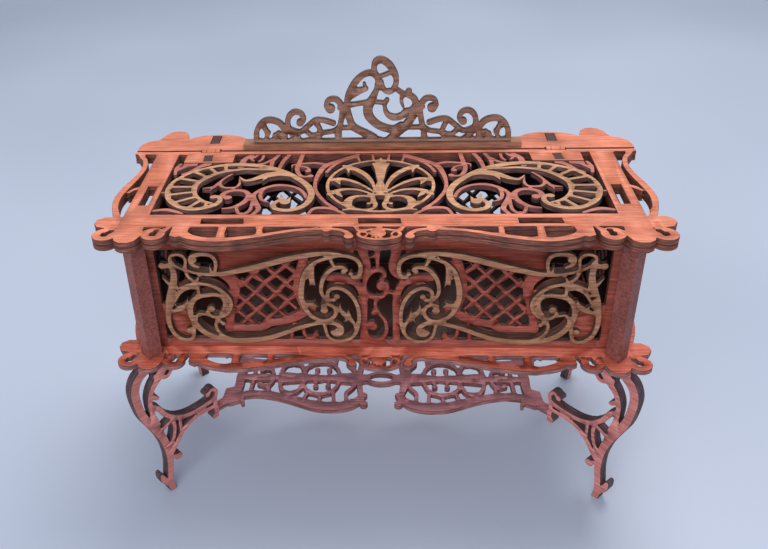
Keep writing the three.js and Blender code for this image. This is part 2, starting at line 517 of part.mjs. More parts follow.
function geometryOf(solid) {
  const mesh = solid.getMesh();
  const geometry = new THREE.BufferGeometry();
  geometry.setAttribute("position", new THREE.BufferAttribute(mesh.vertProperties, 3));
  geometry.setIndex(new THREE.BufferAttribute(mesh.triVerts, 1));
  return geometry;
}

function join(solids) {
  return solids.reduce((all, solid) => all.add(solid));
}

// A flat outline, with any holes, made solid from one level to another
function between(low, high, spots, holes = []) {
  const shape = new THREE.Shape(spots);
  for (const hole of holes) {
    shape.holes.push(new THREE.Path(hole));
  }
  const geometry = new THREE.ExtrudeGeometry(shape, { depth: high - low, bevelEnabled: false });
  geometry.translate(0, 0, low);
  return solidOf(geometry);
}

function corners(left, right, bottom, top) {
  return [
    new THREE.Vector2(left, bottom),
    new THREE.Vector2(right, bottom),
    new THREE.Vector2(right, top),
    new THREE.Vector2(left, top),
  ];
}

// Shapes are joined over thickness, and the sheet's own faces are cut last, so that each face is one plane.
function extruded(spots, thickness, holes = []) {
  return between(-overrun, thickness + overrun, spots, holes);
}

function block(left, right, bottom, top, thickness) {
  return extruded(corners(left, right, bottom, top), thickness);
}

function trimmed(solid, thickness) {
  const reach = outerHalfWidth + overrun;
  return solid.intersect(between(0, thickness, corners(-reach, reach, -reach, reach)));
}

function oval(middle, halfWidth, halfHeight, sides) {
  const spots = [];
  for (let i = 0; i < sides; i += 1) {
    const angle = (2 * Math.PI * (i + 0.5)) / sides;
    const across = middle.x + halfWidth * Math.cos(angle);
    spots.push(new THREE.Vector2(across, middle.y + halfHeight * Math.sin(angle)));
  }
  return spots;
}

function shareAlong(shares, part) {
  const place = part * (shares.length - 1);
  const index = Math.min(Math.floor(place), shares.length - 2);
  return shares[index] + (shares[index + 1] - shares[index]) * (place - index);
}

// A band follows a smooth line, and its width runs evenly through its list of widths.
function bandAlong(spots, widthShares, thickness) {
  const line = new THREE.SplineCurve(spots);
  const steps = Math.max(1, Math.round((spots.length - 1) * stepShare));
  const left = [];
  const right = [];
  for (let i = 0; i <= steps; i += 1) {
    const part = i / steps;
    const middle = line.getPoint(part);
    const ahead = line.getTangent(part);
    const half = (shareAlong(widthShares, part) * ribbon) / 2;
    const sideways = new THREE.Vector2(-ahead.y, ahead.x).multiplyScalar(half);
    left.push(middle.clone().add(sideways));
    right.unshift(middle.clone().sub(sideways));
  }
  return extruded([...left, ...right], thickness);
}

// A drawing holds the two rulers of a flat piece and its thickness, and cuts shapes out of sheet.
class Drawing {
  constructor(across, up, thickness) {
    this.across = across;
    this.up = up;
    this.thickness = thickness;
  }

  spot([x, y], side = 1) {
    return new THREE.Vector2(side * this.across(x), this.up(y));
  }

  area(pointShares, side = 1) {
    return extruded(pointShares.map((point) => this.spot(point, side)), this.thickness);
  }

  band([widthShares, ...pointShares], side = 1) {
    return bandAlong(pointShares.map((point) => this.spot(point, side)), widthShares, this.thickness);
  }

  ball([x, y, radiusShare], side = 1) {
    const radius = radiusShare * ribbon;
    return extruded(oval(this.spot([x, y], side), radius, radius, ballSides), this.thickness);
  }

  ring([x, y, radiusShare, holeShare], side = 1) {
    const middle = this.spot([x, y], side);
    const outer = oval(middle, radiusShare * ribbon, radiusShare * ribbon, ringSides);
    const hole = oval(middle, holeShare * ribbon, holeShare * ribbon, ringSides);
    return extruded(outer, this.thickness, [hole]);
  }

  ovalRing([x, y, halfWidthShare, halfHeightShare, wallShare], sides) {
    const middle = this.spot([x, y], 1);
    const halfWidth = this.across(halfWidthShare);
    const halfHeight = (this.up(y + halfHeightShare) - this.up(y - halfHeightShare)) / 2;
    const wall = wallShare * ribbon;
    const outer = oval(middle, halfWidth, halfHeight, sides);
    const hole = oval(middle, halfWidth - wall, halfHeight - wall, sides);
    return extruded(outer, this.thickness, [hole]);
  }

  // Everything in a table, on both sides of the middle
  both(kind, table) {
    return table.flatMap((row) => [this[kind](row, 1), this[kind](row, -1)]);
  }
}

// The bars of a lattice, cut to the outline of its window
function lattice(drawing, areaShares, middleShares, side) {
  const opening = areaShares.map((point) => drawing.spot(point, side));
  const frame = extruded(opening, drawing.thickness);
  const box = new THREE.Box2().setFromPoints(opening);
  const size = box.getSize(new THREE.Vector2());
  const reach = size.x + size.y;
  const middle = drawing.spot(middleShares, side);
  const bars = [];
  for (const slope of [1, -1]) {
    const count = Math.ceil(reach / latticePitch);
    for (let i = -count; i <= count; i += 1) {
      const foot = middle.x + i * latticePitch;
      const halfBar = latticeBar / Math.SQRT2;
      const corners = [
        new THREE.Vector2(foot - slope * reach - halfBar, middle.y - reach),
        new THREE.Vector2(foot - slope * reach + halfBar, middle.y - reach),
        new THREE.Vector2(foot + slope * reach + halfBar, middle.y + reach),
        new THREE.Vector2(foot + slope * reach - halfBar, middle.y + reach),
      ];
      bars.push(extruded(corners, drawing.thickness));
    }
  }
  return frame.subtract(join(bars));
}

const casket = new THREE.Group();

function piece(name, solid, colour, parent, metalness = 0) {
  const finish = new THREE.MeshStandardMaterial({ color: colour, roughness: 0.62, metalness });
  const mesh = new THREE.Mesh(geometryOf(solid), finish);
  mesh.name = name;
  parent.add(mesh);
  return mesh;
}

// Lid, two layers of sheet that share the rim
const lidDrawing = new Drawing(planAcross, planUp, sheet);

function lidBorder() {
  const outer = block(-borderHalfWidth, borderHalfWidth, -borderFront, lidRear, sheet);
  const opening = block(-windowHalfWidth, windowHalfWidth, -windowHalfDepth, windowHalfDepth, sheet);
  return join([
    outer.subtract(opening),
    ...lidDrawing.both("band", rimBandShares),
    ...lidDrawing.both("area", rimAreaShares),
    ...lidDrawing.both("ball", rimBallShares),
    ...lidDrawing.both("ring", rimRingShares),
    ...lidDrawing.both("area", [hingeBlockShares]),
    lidDrawing.ovalRing(medallionShares, ringSides + ballSides),
    lidDrawing.ball(medallionDiscShares),
    lidDrawing.band(medallionLinkShares),
  ]);
}

// A cutter for a slot, between two places across and two places up
function slot(left, right, bottom, top) {
  return block(left, right, bottom, top, sheet);
}

function lidFrame() {
  const slots = [];
  for (const side of [1, -1]) {
    const hinge = side * hingePlace;
    const reach = leafWidth / 2 + gap;
    const barrel = reach + cheekWidth + 2 * gap;
    const leafEnd = lidLeafStart + lidLeafTab;
    const notch = axisPlace - knuckleRadius - gap;
    const [near, far] = frontSlotShares.map((share) => side * planAcross(share));
    const [inner, outer] = sideSlotAcrossShares.map((share) => side * planAcross(share));
    const [front, rear] = borderSlotShares.map(planUp);
    const [sideFront, sideRear] = sideSlotShares.map(planUp);
    slots.push(slot(Math.min(near, far), Math.max(near, far), front, rear));
    slots.push(slot(Math.min(inner, outer), Math.max(inner, outer), sideFront, sideRear));
    slots.push(slot(hinge - reach, hinge + reach, lidLeafStart, leafEnd));
    slots.push(slot(hinge - barrel, hinge + barrel, notch, lidRear + overrun));
  }
  const middle = planAcross(midSlotShare);
  slots.push(slot(-middle, middle, ...borderSlotShares.map(planUp)));
  return trimmed(lidBorder().subtract(join(slots)), sheet);
}

function lidPanel() {
  const slots = [1, -1].map((side) => {
    const hinge = side * hingePlace;
    const reach = leafWidth / 2 + gap;
    return slot(hinge - reach, hinge + reach, lidLeafStart, lidRear + overrun);
  });
  const solid = join([
    lidBorder(),
    ...lidDrawing.both("band", lidRedBandShares),
    ...lidDrawing.both("band", lidRedHookShares),
    ...lidDrawing.both("ball", lidRedBallShares),
    ...lidDrawing.both("band", scrollBandShares.slice(0, 1)),
    lidDrawing.ovalRing(rosetteRingShares, 2 * ringSides),
    lidDrawing.band(lidRedMiddleShares),
  ]);
  return trimmed(solid.subtract(join(slots)), sheet);
}

function lidScroll(side) {
  const solid = join([
    ...scrollBandShares.map((row) => lidDrawing.band(row, side)),
    ...scrollLeafShares.map((row) => lidDrawing.band(row, side)),
    ...scrollBallShares.map((row) => lidDrawing.ball(row, side)),
    ...spokeShares.map((row) => lidDrawing.band([spokeWidthShares, ...row], side)),
  ]);
  return trimmed(solid, sheet);
}

function lidRosette() {
  const solid = join([
    lidDrawing.ovalRing(rosetteRingShares, 2 * ringSides),
    lidDrawing.ball(rosetteHubShares),
    lidDrawing.band(rosetteMiddleShares),
    ...lidDrawing.both("band", rosetteBandShares),
    ...lidDrawing.both("band", rosetteLinkShares),
    ...lidDrawing.both("ball", rosetteBallShares),
  ]);
  return trimmed(solid, sheet);
}

// The base plate and the fixed strip behind the lid share the rear edge.
function edgeSpots(shares) {
  const right = shares.map((point) => lidDrawing.spot(point, 1));
  const left = shares.filter(([x]) => x > 0).map((point) => lidDrawing.spot(point, -1));
  return [right, left.reverse()];
}

function basePlate() {
  const [right, left] = edgeSpots([...edgeFrontShares, ...edgeRearShares]);
  const slits = [1, -1].flatMap((side) =>
    baseSlitShares.map((share) => {
      const [near, far] = share.map((place) => side * planAcross(place));
      const front = -wallHalfDepth - sheet;
      return slot(Math.min(near, far), Math.max(near, far), front, front + baseSlitDepth);
    }),
  );
  return trimmed(extruded([...right, ...left], sheet).subtract(join(slits)), sheet);
}

function stripOutline() {
  const [right, left] = edgeSpots(edgeRearShares);
  return extruded([...right, ...left], sheet);
}

function rearStrip(upper) {
  const slots = [1, -1].flatMap((side) => {
    const hinge = side * hingePlace;
    const reach = leafWidth / 2 + gap;
    const barrel = reach + cheekWidth + 2 * gap;
    const leafEnd = stripLeafStart + stripLeafTab + gap;
    const notch = axisPlace + knuckleRadius + gap;
    return upper
      ? [
          slot(hinge - reach, hinge + reach, stripLeafStart, leafEnd),
          slot(hinge - barrel, hinge + barrel, stripFront - overrun, notch),
        ]
      : [slot(hinge - barrel, hinge + barrel, stripFront - overrun, leafEnd)];
  });
  return trimmed(stripOutline().subtract(join(slots)), sheet);
}

// Walls, drawn upright: the drawing's up is the real up
const wallDrawing = new Drawing(wallAcross, wallUp, sheet);

function latticeWall() {
  const sheetSolid = block(-wallHalfWidth, wallHalfWidth, 0, wallHeight, sheet);
  const windows = [1, -1].map((side) => lattice(wallDrawing, latticeAreaShares, latticeMiddleShares, side));
  return sheetSolid.subtract(join(windows));
}

function rearWall() {
  return trimmed(latticeWall(), sheet);
}

function frontWall() {
  const openings = join([...wallDrawing.both("area", wallOpenShares), wallDrawing.area(wallMiddleOpenShares)]);
  const solid = join([
    latticeWall().subtract(openings),
    ...wallDrawing.both("band", wallCurlShares),
    ...wallLyreShares.map((row) => wallDrawing.band(row)),
  ]);
  return trimmed(solid, sheet);
}

function frontOverlay(side) {
  const solid = join([
    ...overlayBandShares.map((row) => wallDrawing.band(row, side)),
    ...overlayLeafShares.map((row) => wallDrawing.band(row, side)),
    ...overlayBallShares.map((row) => wallDrawing.ball(row, side)),
  ]);
  return trimmed(solid, sheet);
}

const sideDrawing = new Drawing(sideAcross, wallUp, sheet);

function mirroredOutline(shares) {
  const left = shares.filter(([x]) => x > 0).map(([x, y]) => [-x, y]);
  return [...shares, ...left.reverse()];
}

function sideWall() {
  const halfLength = sideAcross(sideEndShare);
  const sheetSolid = block(-halfLength, halfLength, 0, wallHeight, sheet);
  const window = lattice(sideDrawing, mirroredOutline(sideLatticeShares), sideLatticeMiddleShares, 1);
  const openings = join([window, ...sideDrawing.both("area", sideOpenShares)]);
  const solid = join([
    sheetSolid.subtract(openings),
    ...sideDrawing.both("band", sideBandShares),
    ...sideDrawing.both("ball", sideBallShares),
  ]);
  return trimmed(solid, sheet);
}

function sideOverlay() {
  const solid = join([
    ...sideDrawing.both("band", sideOverlayShares),
    ...sideDrawing.both("ball", sideOverlayBallShares),
  ]);
  return trimmed(solid, sheet);
}

// Legs stand in upright planes at an eighth of a turn, through the middle of each corner post.
const legDrawing = new Drawing(legAcross, legUp, legPlies * sheet);

function leg() {
  const solid = join([
    ...legBandShares.map((row) => legDrawing.band(row)),
    legDrawing.band(legEndBarShares),
    ...legBallShares.map((row) => legDrawing.ball(row)),
    ...legAreaShares.map((row) => legDrawing.area(row)),
  ]);
  return trimmed(solid, legDrawing.thickness);
}

const shelfDrawing = new Drawing(shelfAcross, shelfUp, sheet);

// A tab runs out on the diagonal at each corner of the shelf, up to the inner end of the leg.
function shelfTabs() {
  const seat = -legAcross(legEndShare) + (legEndWidthShare * ribbon) / 2 + gap;
  const root = seat + shelfTabLength;
  const widthShares = [shelfTabWidthShare, shelfTabWidthShare];
  return [[1, 1], [1, -1], [-1, 1], [-1, -1]].map(([right, up]) => {
    const spots = [root, seat].map((inward) => {
      const x = postX - inward / Math.SQRT2;
      const y = postY - inward / Math.SQRT2;
      return new THREE.Vector2(right * x, up * y);
    });
    return bandAlong(spots, widthShares, sheet);
  });
}

function shelf() {
  const rear = ([x, y, ...rest]) => [x, -y, ...rest];
  const bands = shelfBandShares.flatMap(([widths, ...points]) => [
    [widths, ...points],
    [widths, ...points.map(rear)],
  ]);
  const areas = shelfAreaShares.flatMap((points) => [points, points.map(rear)]);
  const solid = join([
    ...shelfDrawing.both("band", bands),
    ...shelfDrawing.both("area", areas),
    ...shelfTabs(),
    shelfDrawing.ovalRing(shelfRingShares, 2 * ballSides),
  ]);
  return trimmed(solid, sheet);
}

const crestDrawing = new Drawing(crestAcross, crestUp, sheet);

function crest() {
  const below = block(-crestHalfWidth - overrun, crestHalfWidth + overrun, -crestHeight, 0, sheet);
  const solid = join([
    crestDrawing.area(crestFootShares),
    ...crestDrawing.both("band", crestSideShares),
    ...crestDrawing.both("ball", crestSideBallShares),
    ...crestMiddleShares.map((row) => crestDrawing.band(row)),
    ...crestMiddleBallShares.map((row) => crestDrawing.ball(row)),
  ]);
  return trimmed(solid.subtract(below), sheet);
}

// Hinge leaves are upright plates, drawn in depth and height. Their thickness lies along the seam.
const axisSpot = new THREE.Vector2(axisPlace, axisLevel);

function across(width, spots, holes = []) {
  return between(-width / 2, width / 2, spots, holes);
}

function knuckle(low, high) {
  return between(low, high, oval(axisSpot, knuckleRadius, knuckleRadius, pinSides));
}

function bore() {
  const reach = leafWidth + 2 * cheekWidth;
  return across(2 * reach, oval(axisSpot, pinRadius + gap, pinRadius + gap, pinSides));
}

function neck(points) {
  return points.map(([y, z]) => new THREE.Vector2(y, z));
}

function lidLeaf() {
  const armTop = panelFoot + sheet;
  const leafEnd = lidLeafStart + lidLeafTab - gap;
  const neckSpots = neck([
    [axisPlace - knuckleRadius, armTop - gap],
    [lidRear, armTop - gap],
    [axisPlace, axisLevel],
    [axisPlace - knuckleRadius, axisLevel],
  ]);
  return join([
    across(leafWidth, corners(lidLeafStart + gap, leafEnd, panelFoot, frameTop)),
    across(leafWidth, corners(lidLeafStart + gap, lidRear, panelFoot, armTop)),
    across(leafWidth, neckSpots),
    knuckle(-leafWidth / 2, leafWidth / 2),
  ]).subtract(bore());
}

function stripLeaf() {
  const armTop = panelFoot + sheet;
  const armFront = stripFront + gap;
  const armEnd = stripLeafStart + stripLeafTab - gap;
  const neckRear = axisPlace + knuckleRadius;
  const inner = leafWidth / 2 + gap;
  const outer = inner + cheekWidth;
  const neckSpots = neck([
    [axisPlace, axisLevel],
    [armFront, armTop - gap],
    [neckRear, armTop - gap],
    [neckRear, axisLevel],
  ]);
  return join([
    across(2 * outer, corners(armFront, armEnd, panelFoot, armTop)),
    across(leafWidth, corners(stripLeafStart + gap, armEnd, panelFoot, frameTop)),
    between(inner, outer, neckSpots),
    between(-outer, -inner, neckSpots),
    knuckle(inner, outer),
    knuckle(-outer, -inner),
  ]).subtract(bore());
}

function hingePin() {
  const length = leafWidth + 2 * (cheekWidth + gap);
  return across(length, oval(axisSpot, pinRadius, pinRadius, pinSides));
}

// Turns a hinge piece so that its thickness lies along X, its first direction along Y and its second up.
function layAcross(mesh, x) {
  mesh.rotation.set(quarterTurn, 0, quarterTurn, "ZYX");
  mesh.position.x = x;
}

function post() {
  const half = postSide / 2;
  return between(0, wallHeight, corners(-half, half, -half, half));
}

function crestPlank() {
  const front = stripFront + plankSetback;
  return between(0, sheet, corners(-plankHalfWidth, plankHalfWidth, front, front + plankDepth));
}

// A flat piece stood upright: its drawing's up turns to the real up, and it faces the given way.
function stand(mesh, x, y, z, facing = 0) {
  mesh.rotation.set(quarterTurn, 0, 0);
  const turn = new THREE.Group();
  turn.add(mesh);
  turn.rotation.z = facing;
  turn.position.set(x, y, z);
  casket.add(turn);
}

piece("base_plate", basePlate(), red, casket).position.z = baseFoot;
piece("lid_panel", lidPanel(), red, casket).position.z = panelFoot;
piece("lid_frame", lidFrame(), paleRed, casket).position.z = frameFoot;
piece("lid_rosette", lidRosette(), tan, casket).position.z = frameFoot;
piece("lid_scroll_left", lidScroll(-1), tan, casket).position.z = frameFoot;
piece("lid_scroll_right", lidScroll(1), tan, casket).position.z = frameFoot;
piece("rear_strip_lower", rearStrip(false), red, casket).position.z = panelFoot;
piece("rear_strip_upper", rearStrip(true), paleRed, casket).position.z = frameFoot;
piece("crest_plank", crestPlank(), tan, casket).position.z = plankFoot;
piece("shelf", shelf(), red, casket).position.z = shelfLevel - sheet;

stand(piece("front_wall", frontWall(), red, casket), 0, sheet - wallHalfDepth, wallFoot);
stand(piece("rear_wall", rearWall(), red, casket), 0, wallHalfDepth, wallFoot);
stand(piece("front_overlay_left", frontOverlay(-1), tan, casket), 0, -wallHalfDepth - gap, wallFoot);
stand(piece("front_overlay_right", frontOverlay(1), tan, casket), 0, -wallHalfDepth - gap, wallFoot);
stand(piece("crest", crest(), tan, casket), 0, stripFront + crestSetback + sheet, crestFoot);

for (const [name, side] of [["left", -1], ["right", 1]]) {
  const facing = side * quarterTurn;
  stand(piece(`${name}_wall`, sideWall(), red, casket), side * (wallHalfWidth - sheet), 0, wallFoot, facing);
  const overlay = piece(`${name}_overlay`, sideOverlay(), tan, casket);
  stand(overlay, side * (wallHalfWidth + gap), 0, wallFoot, facing);
  layAcross(piece(`lid_hinge_leaf_${name}`, lidLeaf(), char, casket), side * hingePlace);
  layAcross(piece(`strip_hinge_leaf_${name}`, stripLeaf(), char, casket), side * hingePlace);
  layAcross(piece(`hinge_pin_${name}`, hingePin(), steel, casket, 1), side * hingePlace);
  for (const [end, forward] of [["front", -1], ["rear", 1]]) {
    const bar = piece(`post_${end}_${name}`, post(), red, casket);
    bar.position.set(side * postX, forward * postY, wallFoot);
    bar.rotation.z = eighthTurn;
    const plate = piece(`leg_${end}_${name}`, leg(), red, casket);
    plate.geometry.translate(0, 0, (-legPlies * sheet) / 2);
    stand(plate, side * postX, forward * postY, 0, Math.atan2(forward, side));
  }
}

// The origin is the middle of the whole footprint.
const footprint = new THREE.Box3().setFromObject(casket, true);
casket.position.y = -(footprint.min.y + footprint.max.y) / 2;

export default casket;
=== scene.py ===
import math

import bpy
import numpy as np
from mathutils import Matrix, Vector
from mathutils.geometry import delaunay_2d_cdt


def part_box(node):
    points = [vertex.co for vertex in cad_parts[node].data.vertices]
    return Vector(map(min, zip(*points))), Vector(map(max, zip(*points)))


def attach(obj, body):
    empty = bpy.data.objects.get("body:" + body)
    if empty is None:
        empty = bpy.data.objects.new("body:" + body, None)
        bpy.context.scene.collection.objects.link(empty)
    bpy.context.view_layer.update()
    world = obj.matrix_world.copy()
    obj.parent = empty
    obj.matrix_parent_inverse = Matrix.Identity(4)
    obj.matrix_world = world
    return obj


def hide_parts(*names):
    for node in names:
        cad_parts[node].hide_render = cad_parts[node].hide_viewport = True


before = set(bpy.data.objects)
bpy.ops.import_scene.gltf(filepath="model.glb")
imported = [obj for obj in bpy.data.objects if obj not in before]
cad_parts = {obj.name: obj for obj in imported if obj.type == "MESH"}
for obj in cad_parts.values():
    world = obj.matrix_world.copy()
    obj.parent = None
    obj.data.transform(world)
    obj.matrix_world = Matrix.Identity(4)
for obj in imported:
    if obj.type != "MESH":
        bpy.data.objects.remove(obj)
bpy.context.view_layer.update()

# Lengths in this file are millimetres, unless a name says otherwise. Blender's are metres.
MM = 0.001

# The field of distances behind each flat piece: the cell, a value far from any outline, the empty margin,
# and how far from a line its distances are worked out
CELL = 0.36
FAR = 50.0
MARGIN = 4.0
# The fillet in inner corners
FILLET = 0.5
REACH = 2 * CELL + FILLET
# The step along a curve, and how far an outline may stray where it is thinned out
STEP = 1.1
EASE = 0.03
# What counts as nothing in a sum, and as a point in an outline
NOTHING = 1e-9
POINT = 1e-6

# The stock, the chamfer on its cut edges, and the angle in radians from which an edge is drawn sharp
SHEET = 3.0
CHAMFER = 0.2
SHARP = math.radians(32)


def low(node, axis):
    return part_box(node)[0][axis] / MM


def high(node, axis):
    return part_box(node)[1][axis] / MM


def tenth(value):
    """A size from the frame, to a tenth of a millimetre."""
    return round(value, 1)


# Sizes from the frame. Depths are counted from the middle of the box, to the rear.
MIDDLE = (low("front_wall", 1) + high("rear_wall", 1)) / 2
PLATE_HALF = tenth(high("base_plate", 0))
LID_REAR = tenth(high("lid_frame", 1) - MIDDLE)
WALL_HALF = tenth(high("front_wall", 0))
WALL_HEIGHT = tenth(high("front_wall", 2) - low("front_wall", 2))
SIDE_WALL_HALF = tenth(high("right_wall", 1) - MIDDLE)
LEG_HEIGHT = tenth(high("leg_rear_right", 2))
POST_X = tenth((low("post_rear_right", 0) + high("post_rear_right", 0)) / 2)
POST_Y = tenth((low("post_rear_right", 1) + high("post_rear_right", 1)) / 2 - MIDDLE)


# Flat pieces
def smooth(spots, widths):
    """A smooth line through the spots, and half the width at each of its points.

    The widths are one number, or a list of them spread evenly over the spots."""
    spots = np.array(spots, float)
    count = len(spots)
    line = [spots[0]]
    shares = [0.0]
    for i in range(count - 1):
        before = spots[max(i - 1, 0)]
        start, end = spots[i], spots[i + 1]
        after = spots[min(i + 2, count - 1)]
        steps = 1 if count == 2 else max(2, math.ceil(np.linalg.norm(end - start) / STEP))
        into, out = (end - before) / 2, (after - start) / 2
        for k in range(1, steps + 1):
            t = k / steps
            place = (
                (2 * t**3 - 3 * t**2 + 1) * start
                + (t**3 - 2 * t**2 + t) * into
                + (3 * t**2 - 2 * t**3) * end
                + (t**3 - t**2) * out
            )
            line.append(place)
            shares.append((i + t) / (count - 1))
    widths = np.atleast_1d(widths)
    halves = np.interp(shares, np.linspace(0, 1, len(widths)), widths) / 2
    return np.array(line), halves


def turned(spots, side):
    return [(side * x, y) for x, y in spots]


class Sheet:
    """A flat piece, drawn as a field of distances to its outline: negative inside, positive outside."""

    def __init__(self, left, right, bottom, top):
        self.left = left - MARGIN
        self.bottom = bottom - MARGIN
        self.columns = math.ceil((right - left + 2 * MARGIN) / CELL)
        self.rows = math.ceil((top - bottom + 2 * MARGIN) / CELL)
        self.field = np.full((self.rows, self.columns), FAR)

    def cells(self, lowest, highest, reach):
        first = np.floor((np.array(lowest) - reach - (self.left, self.bottom)) / CELL).astype(int)
        last = np.ceil((np.array(highest) + reach - (self.left, self.bottom)) / CELL).astype(int) + 1
        c0, c1 = np.clip([first[0], last[0]], 0, self.columns)
        r0, r1 = np.clip([first[1], last[1]], 0, self.rows)
        xs = self.left + CELL * np.arange(c0, c1)
        ys = self.bottom + CELL * np.arange(r0, r1)
        return (slice(r0, r1), slice(c0, c1)), xs[None, :], ys[:, None]

    def merge(self, where, near, cut):
        field = self.field[where]
        if cut:
            self.field[where] = np.maximum(field, -near)
            return
        share = np.clip(0.5 + 0.5 * (near - field) / FILLET, 0, 1)
        self.field[where] = near * (1 - share) + field * share - FILLET * share * (1 - share)

    def edges_near(self, line, halves, where):
        """Distance to a run of straight stretches whose half width changes evenly along each."""
        near = np.full((where[0].stop - where[0].start, where[1].stop - where[1].start), FAR)
        for a, b, ra, rb in zip(line[:-1], line[1:], halves[:-1], halves[1:]):
            part, xs, ys = self.cells(np.minimum(a, b), np.maximum(a, b), max(ra, rb) + REACH)
            rows = slice(part[0].start - where[0].start, part[0].stop - where[0].start)
            columns = slice(part[1].start - where[1].start, part[1].stop - where[1].start)
            run = b - a
            long = max(run @ run, NOTHING)
            t = np.clip(((xs - a[0]) * run[0] + (ys - a[1]) * run[1]) / long, 0, 1)
            gone = np.hypot(xs - a[0] - t * run[0], ys - a[1] - t * run[1])
            inside = near[rows, columns]
            np.minimum(inside, gone - ra - t * (rb - ra), out=inside)
        return near

    def band(self, widths, *spots, side=1, cut=False):
        line, halves = smooth(turned(spots, side), widths)
        where, _, _ = self.cells(line.min(0), line.max(0), halves.max() + REACH)
        self.merge(where, self.edges_near(line, halves, where), cut)

    def ball(self, x, y, radius, side=1, cut=False):
        where, xs, ys = self.cells((side * x, y), (side * x, y), radius + REACH)
        self.merge(where, np.hypot(xs - side * x, ys - y) - radius, cut)

    def oval(self, x, y, across, up, cut=False):
        where, xs, ys = self.cells((x - across, y - up), (x + across, y + up), REACH)
        share = np.hypot((xs - x) / across, (ys - y) / up)
        slope = np.hypot((xs - x) / across**2, (ys - y) / up**2) / np.maximum(share, POINT)
        self.merge(where, (share - 1) / np.maximum(slope, POINT), cut)

    def area(self, *spots, side=1, cut=False):
        spots = np.array(turned(spots, side), float)
        closed = np.vstack([spots, spots[:1]])
        where, xs, ys = self.cells(closed.min(0), closed.max(0), REACH)
        near = self.edges_near(closed, np.zeros(len(closed)), where)
        crossings = np.zeros(near.shape, int)
        for (ax, ay), (bx, by) in zip(closed[:-1], closed[1:]):
            if ay == by:
                continue
            rows = np.nonzero((ys[:, 0] > min(ay, by)) & (ys[:, 0] <= max(ay, by)))[0]
            places = ax + (ys[rows, 0] - ay) * (bx - ax) / (by - ay)
            crossings[rows] += xs > places[:, None]
        self.merge(where, np.where(crossings % 2 == 1, -near, near), cut)

    def block(self, left, right, bottom, top, cut=False):
        self.area((left, bottom), (right, bottom), (right, top), (left, top), cut=cut)

    def outlines(self):
        """The closed lines where the field crosses zero, with the sheet on their left."""
        field = np.where(np.abs(self.field) < POINT, POINT, self.field)
        inside = field < 0
        rows, columns = field.shape
        code = inside[:-1, :-1] + 2 * inside[:-1, 1:] + 4 * inside[1:, 1:] + 8 * inside[1:, :-1]
        middle = (field[:-1, :-1] + field[:-1, 1:] + field[1:, 1:] + field[1:, :-1]) < 0
        row, column = np.nonzero((code > 0) & (code < 15))
        code, middle = code[row, column], middle[row, column]
        bottom = row * columns + column
        left = bottom + rows * columns
        sides = {"bottom": bottom, "top": bottom + columns, "left": left, "right": left + 1}
        follow = {}
        for number, joined, runs in CROSSINGS:
            chosen = code == number
            if joined is not None:
                chosen &= middle == joined
            for start, end in runs:
                follow.update(zip(sides[start][chosen].tolist(), sides[end][chosen].tolist()))
        flat = field.ravel()
        loops = []
        while follow:
            first = next(iter(follow))
            loop = [first]
            here = follow.pop(first)
            while here != first:
                loop.append(here)
                here = follow.pop(here)
            ids = np.array(loop)
            upright = ids >= rows * columns
            cell = np.where(upright, ids - rows * columns, ids)
            other = np.where(upright, cell + columns, cell + 1)
            share = flat[cell] / (flat[cell] - flat[other])
            xs = self.left + CELL * (cell % columns + np.where(upright, 0, share))
            ys = self.bottom + CELL * (cell // columns + np.where(upright, share, 0))
            loops.append(eased(np.stack([xs, ys], 1)))
        return [loop for loop in loops if len(loop) > 3]

    def inward(self, spots):
        """The direction into the sheet at points on its outline."""
        column = np.clip((spots[:, 0] - self.left) / CELL, 1, self.columns - 3)
        row = np.clip((spots[:, 1] - self.bottom) / CELL, 1, self.rows - 3)
        c, r = column.astype(int), row.astype(int)
        u, v = column - c, row - r
        f = self.field

        def slope(dr, dc):
            near = [f[r + i + dr, c + k + dc] - f[r + i - dr, c + k - dc] for i in (0, 1) for k in (0, 1)]
            return (near[0] * (1 - u) + near[1] * u) * (1 - v) + (near[2] * (1 - u) + near[3] * u) * v

        down = -np.stack([slope(0, 1), slope(1, 0)], 1)
        return down / np.maximum(np.linalg.norm(down, axis=1, keepdims=True), NOTHING)


# For each case of corners inside: the sides of a cell between which the outline runs
CROSSINGS = [
    (1, None, [("bottom", "left")]),
    (2, None, [("right", "bottom")]),
    (3, None, [("right", "left")]),
    (4, None, [("top", "right")]),
    (5, True, [("bottom", "right"), ("top", "left")]),
    (5, False, [("bottom", "left"), ("top", "right")]),
    (6, None, [("top", "bottom")]),
    (7, None, [("top", "left")]),
    (8, None, [("left", "top")]),
    (9, None, [("bottom", "top")]),
    (10, True, [("left", "bottom"), ("right", "top")]),
    (10, False, [("right", "bottom"), ("left", "top")]),
    (11, None, [("right", "top")]),
    (12, None, [("left", "right")]),
    (13, None, [("bottom", "right")]),
    (14, None, [("left", "bottom")]),
]


def eased(loop):
    """The loop without the points that lie on a straight line between those that stay."""
    keep = np.zeros(len(loop), bool)
    half = len(loop) // 2
    stack = [(0, half), (half, len(loop))]
    spots = np.vstack([loop, loop[:1]])
    keep[0] = keep[half] = True
    while stack:
        a, b = stack.pop()
        if b - a < 2:
            continue
        run = spots[b] - spots[a]
        between = spots[a + 1 : b] - spots[a]
        long = max(np.hypot(*run), NOTHING)
        off = np.abs(run[0] * between[:, 1] - run[1] * between[:, 0]) / long
        if long < POINT:
            off = np.hypot(between[:, 0], between[:, 1])
        far = int(np.argmax(off))
        if off[far] > EASE:
            keep[a + 1 + far] = True
            stack += [(a, a + 1 + far), (a + 1 + far, b)]
    return loop[keep]


# For the faces of a plate: the filling of outlines that Blender is asked for, the distance at which it joins
# points, and how far outside the sheet the middle of a sliver may be
WITHIN_OUTLINES = 1
WELD = 1e-7
NEARLY_INSIDE = 0.25
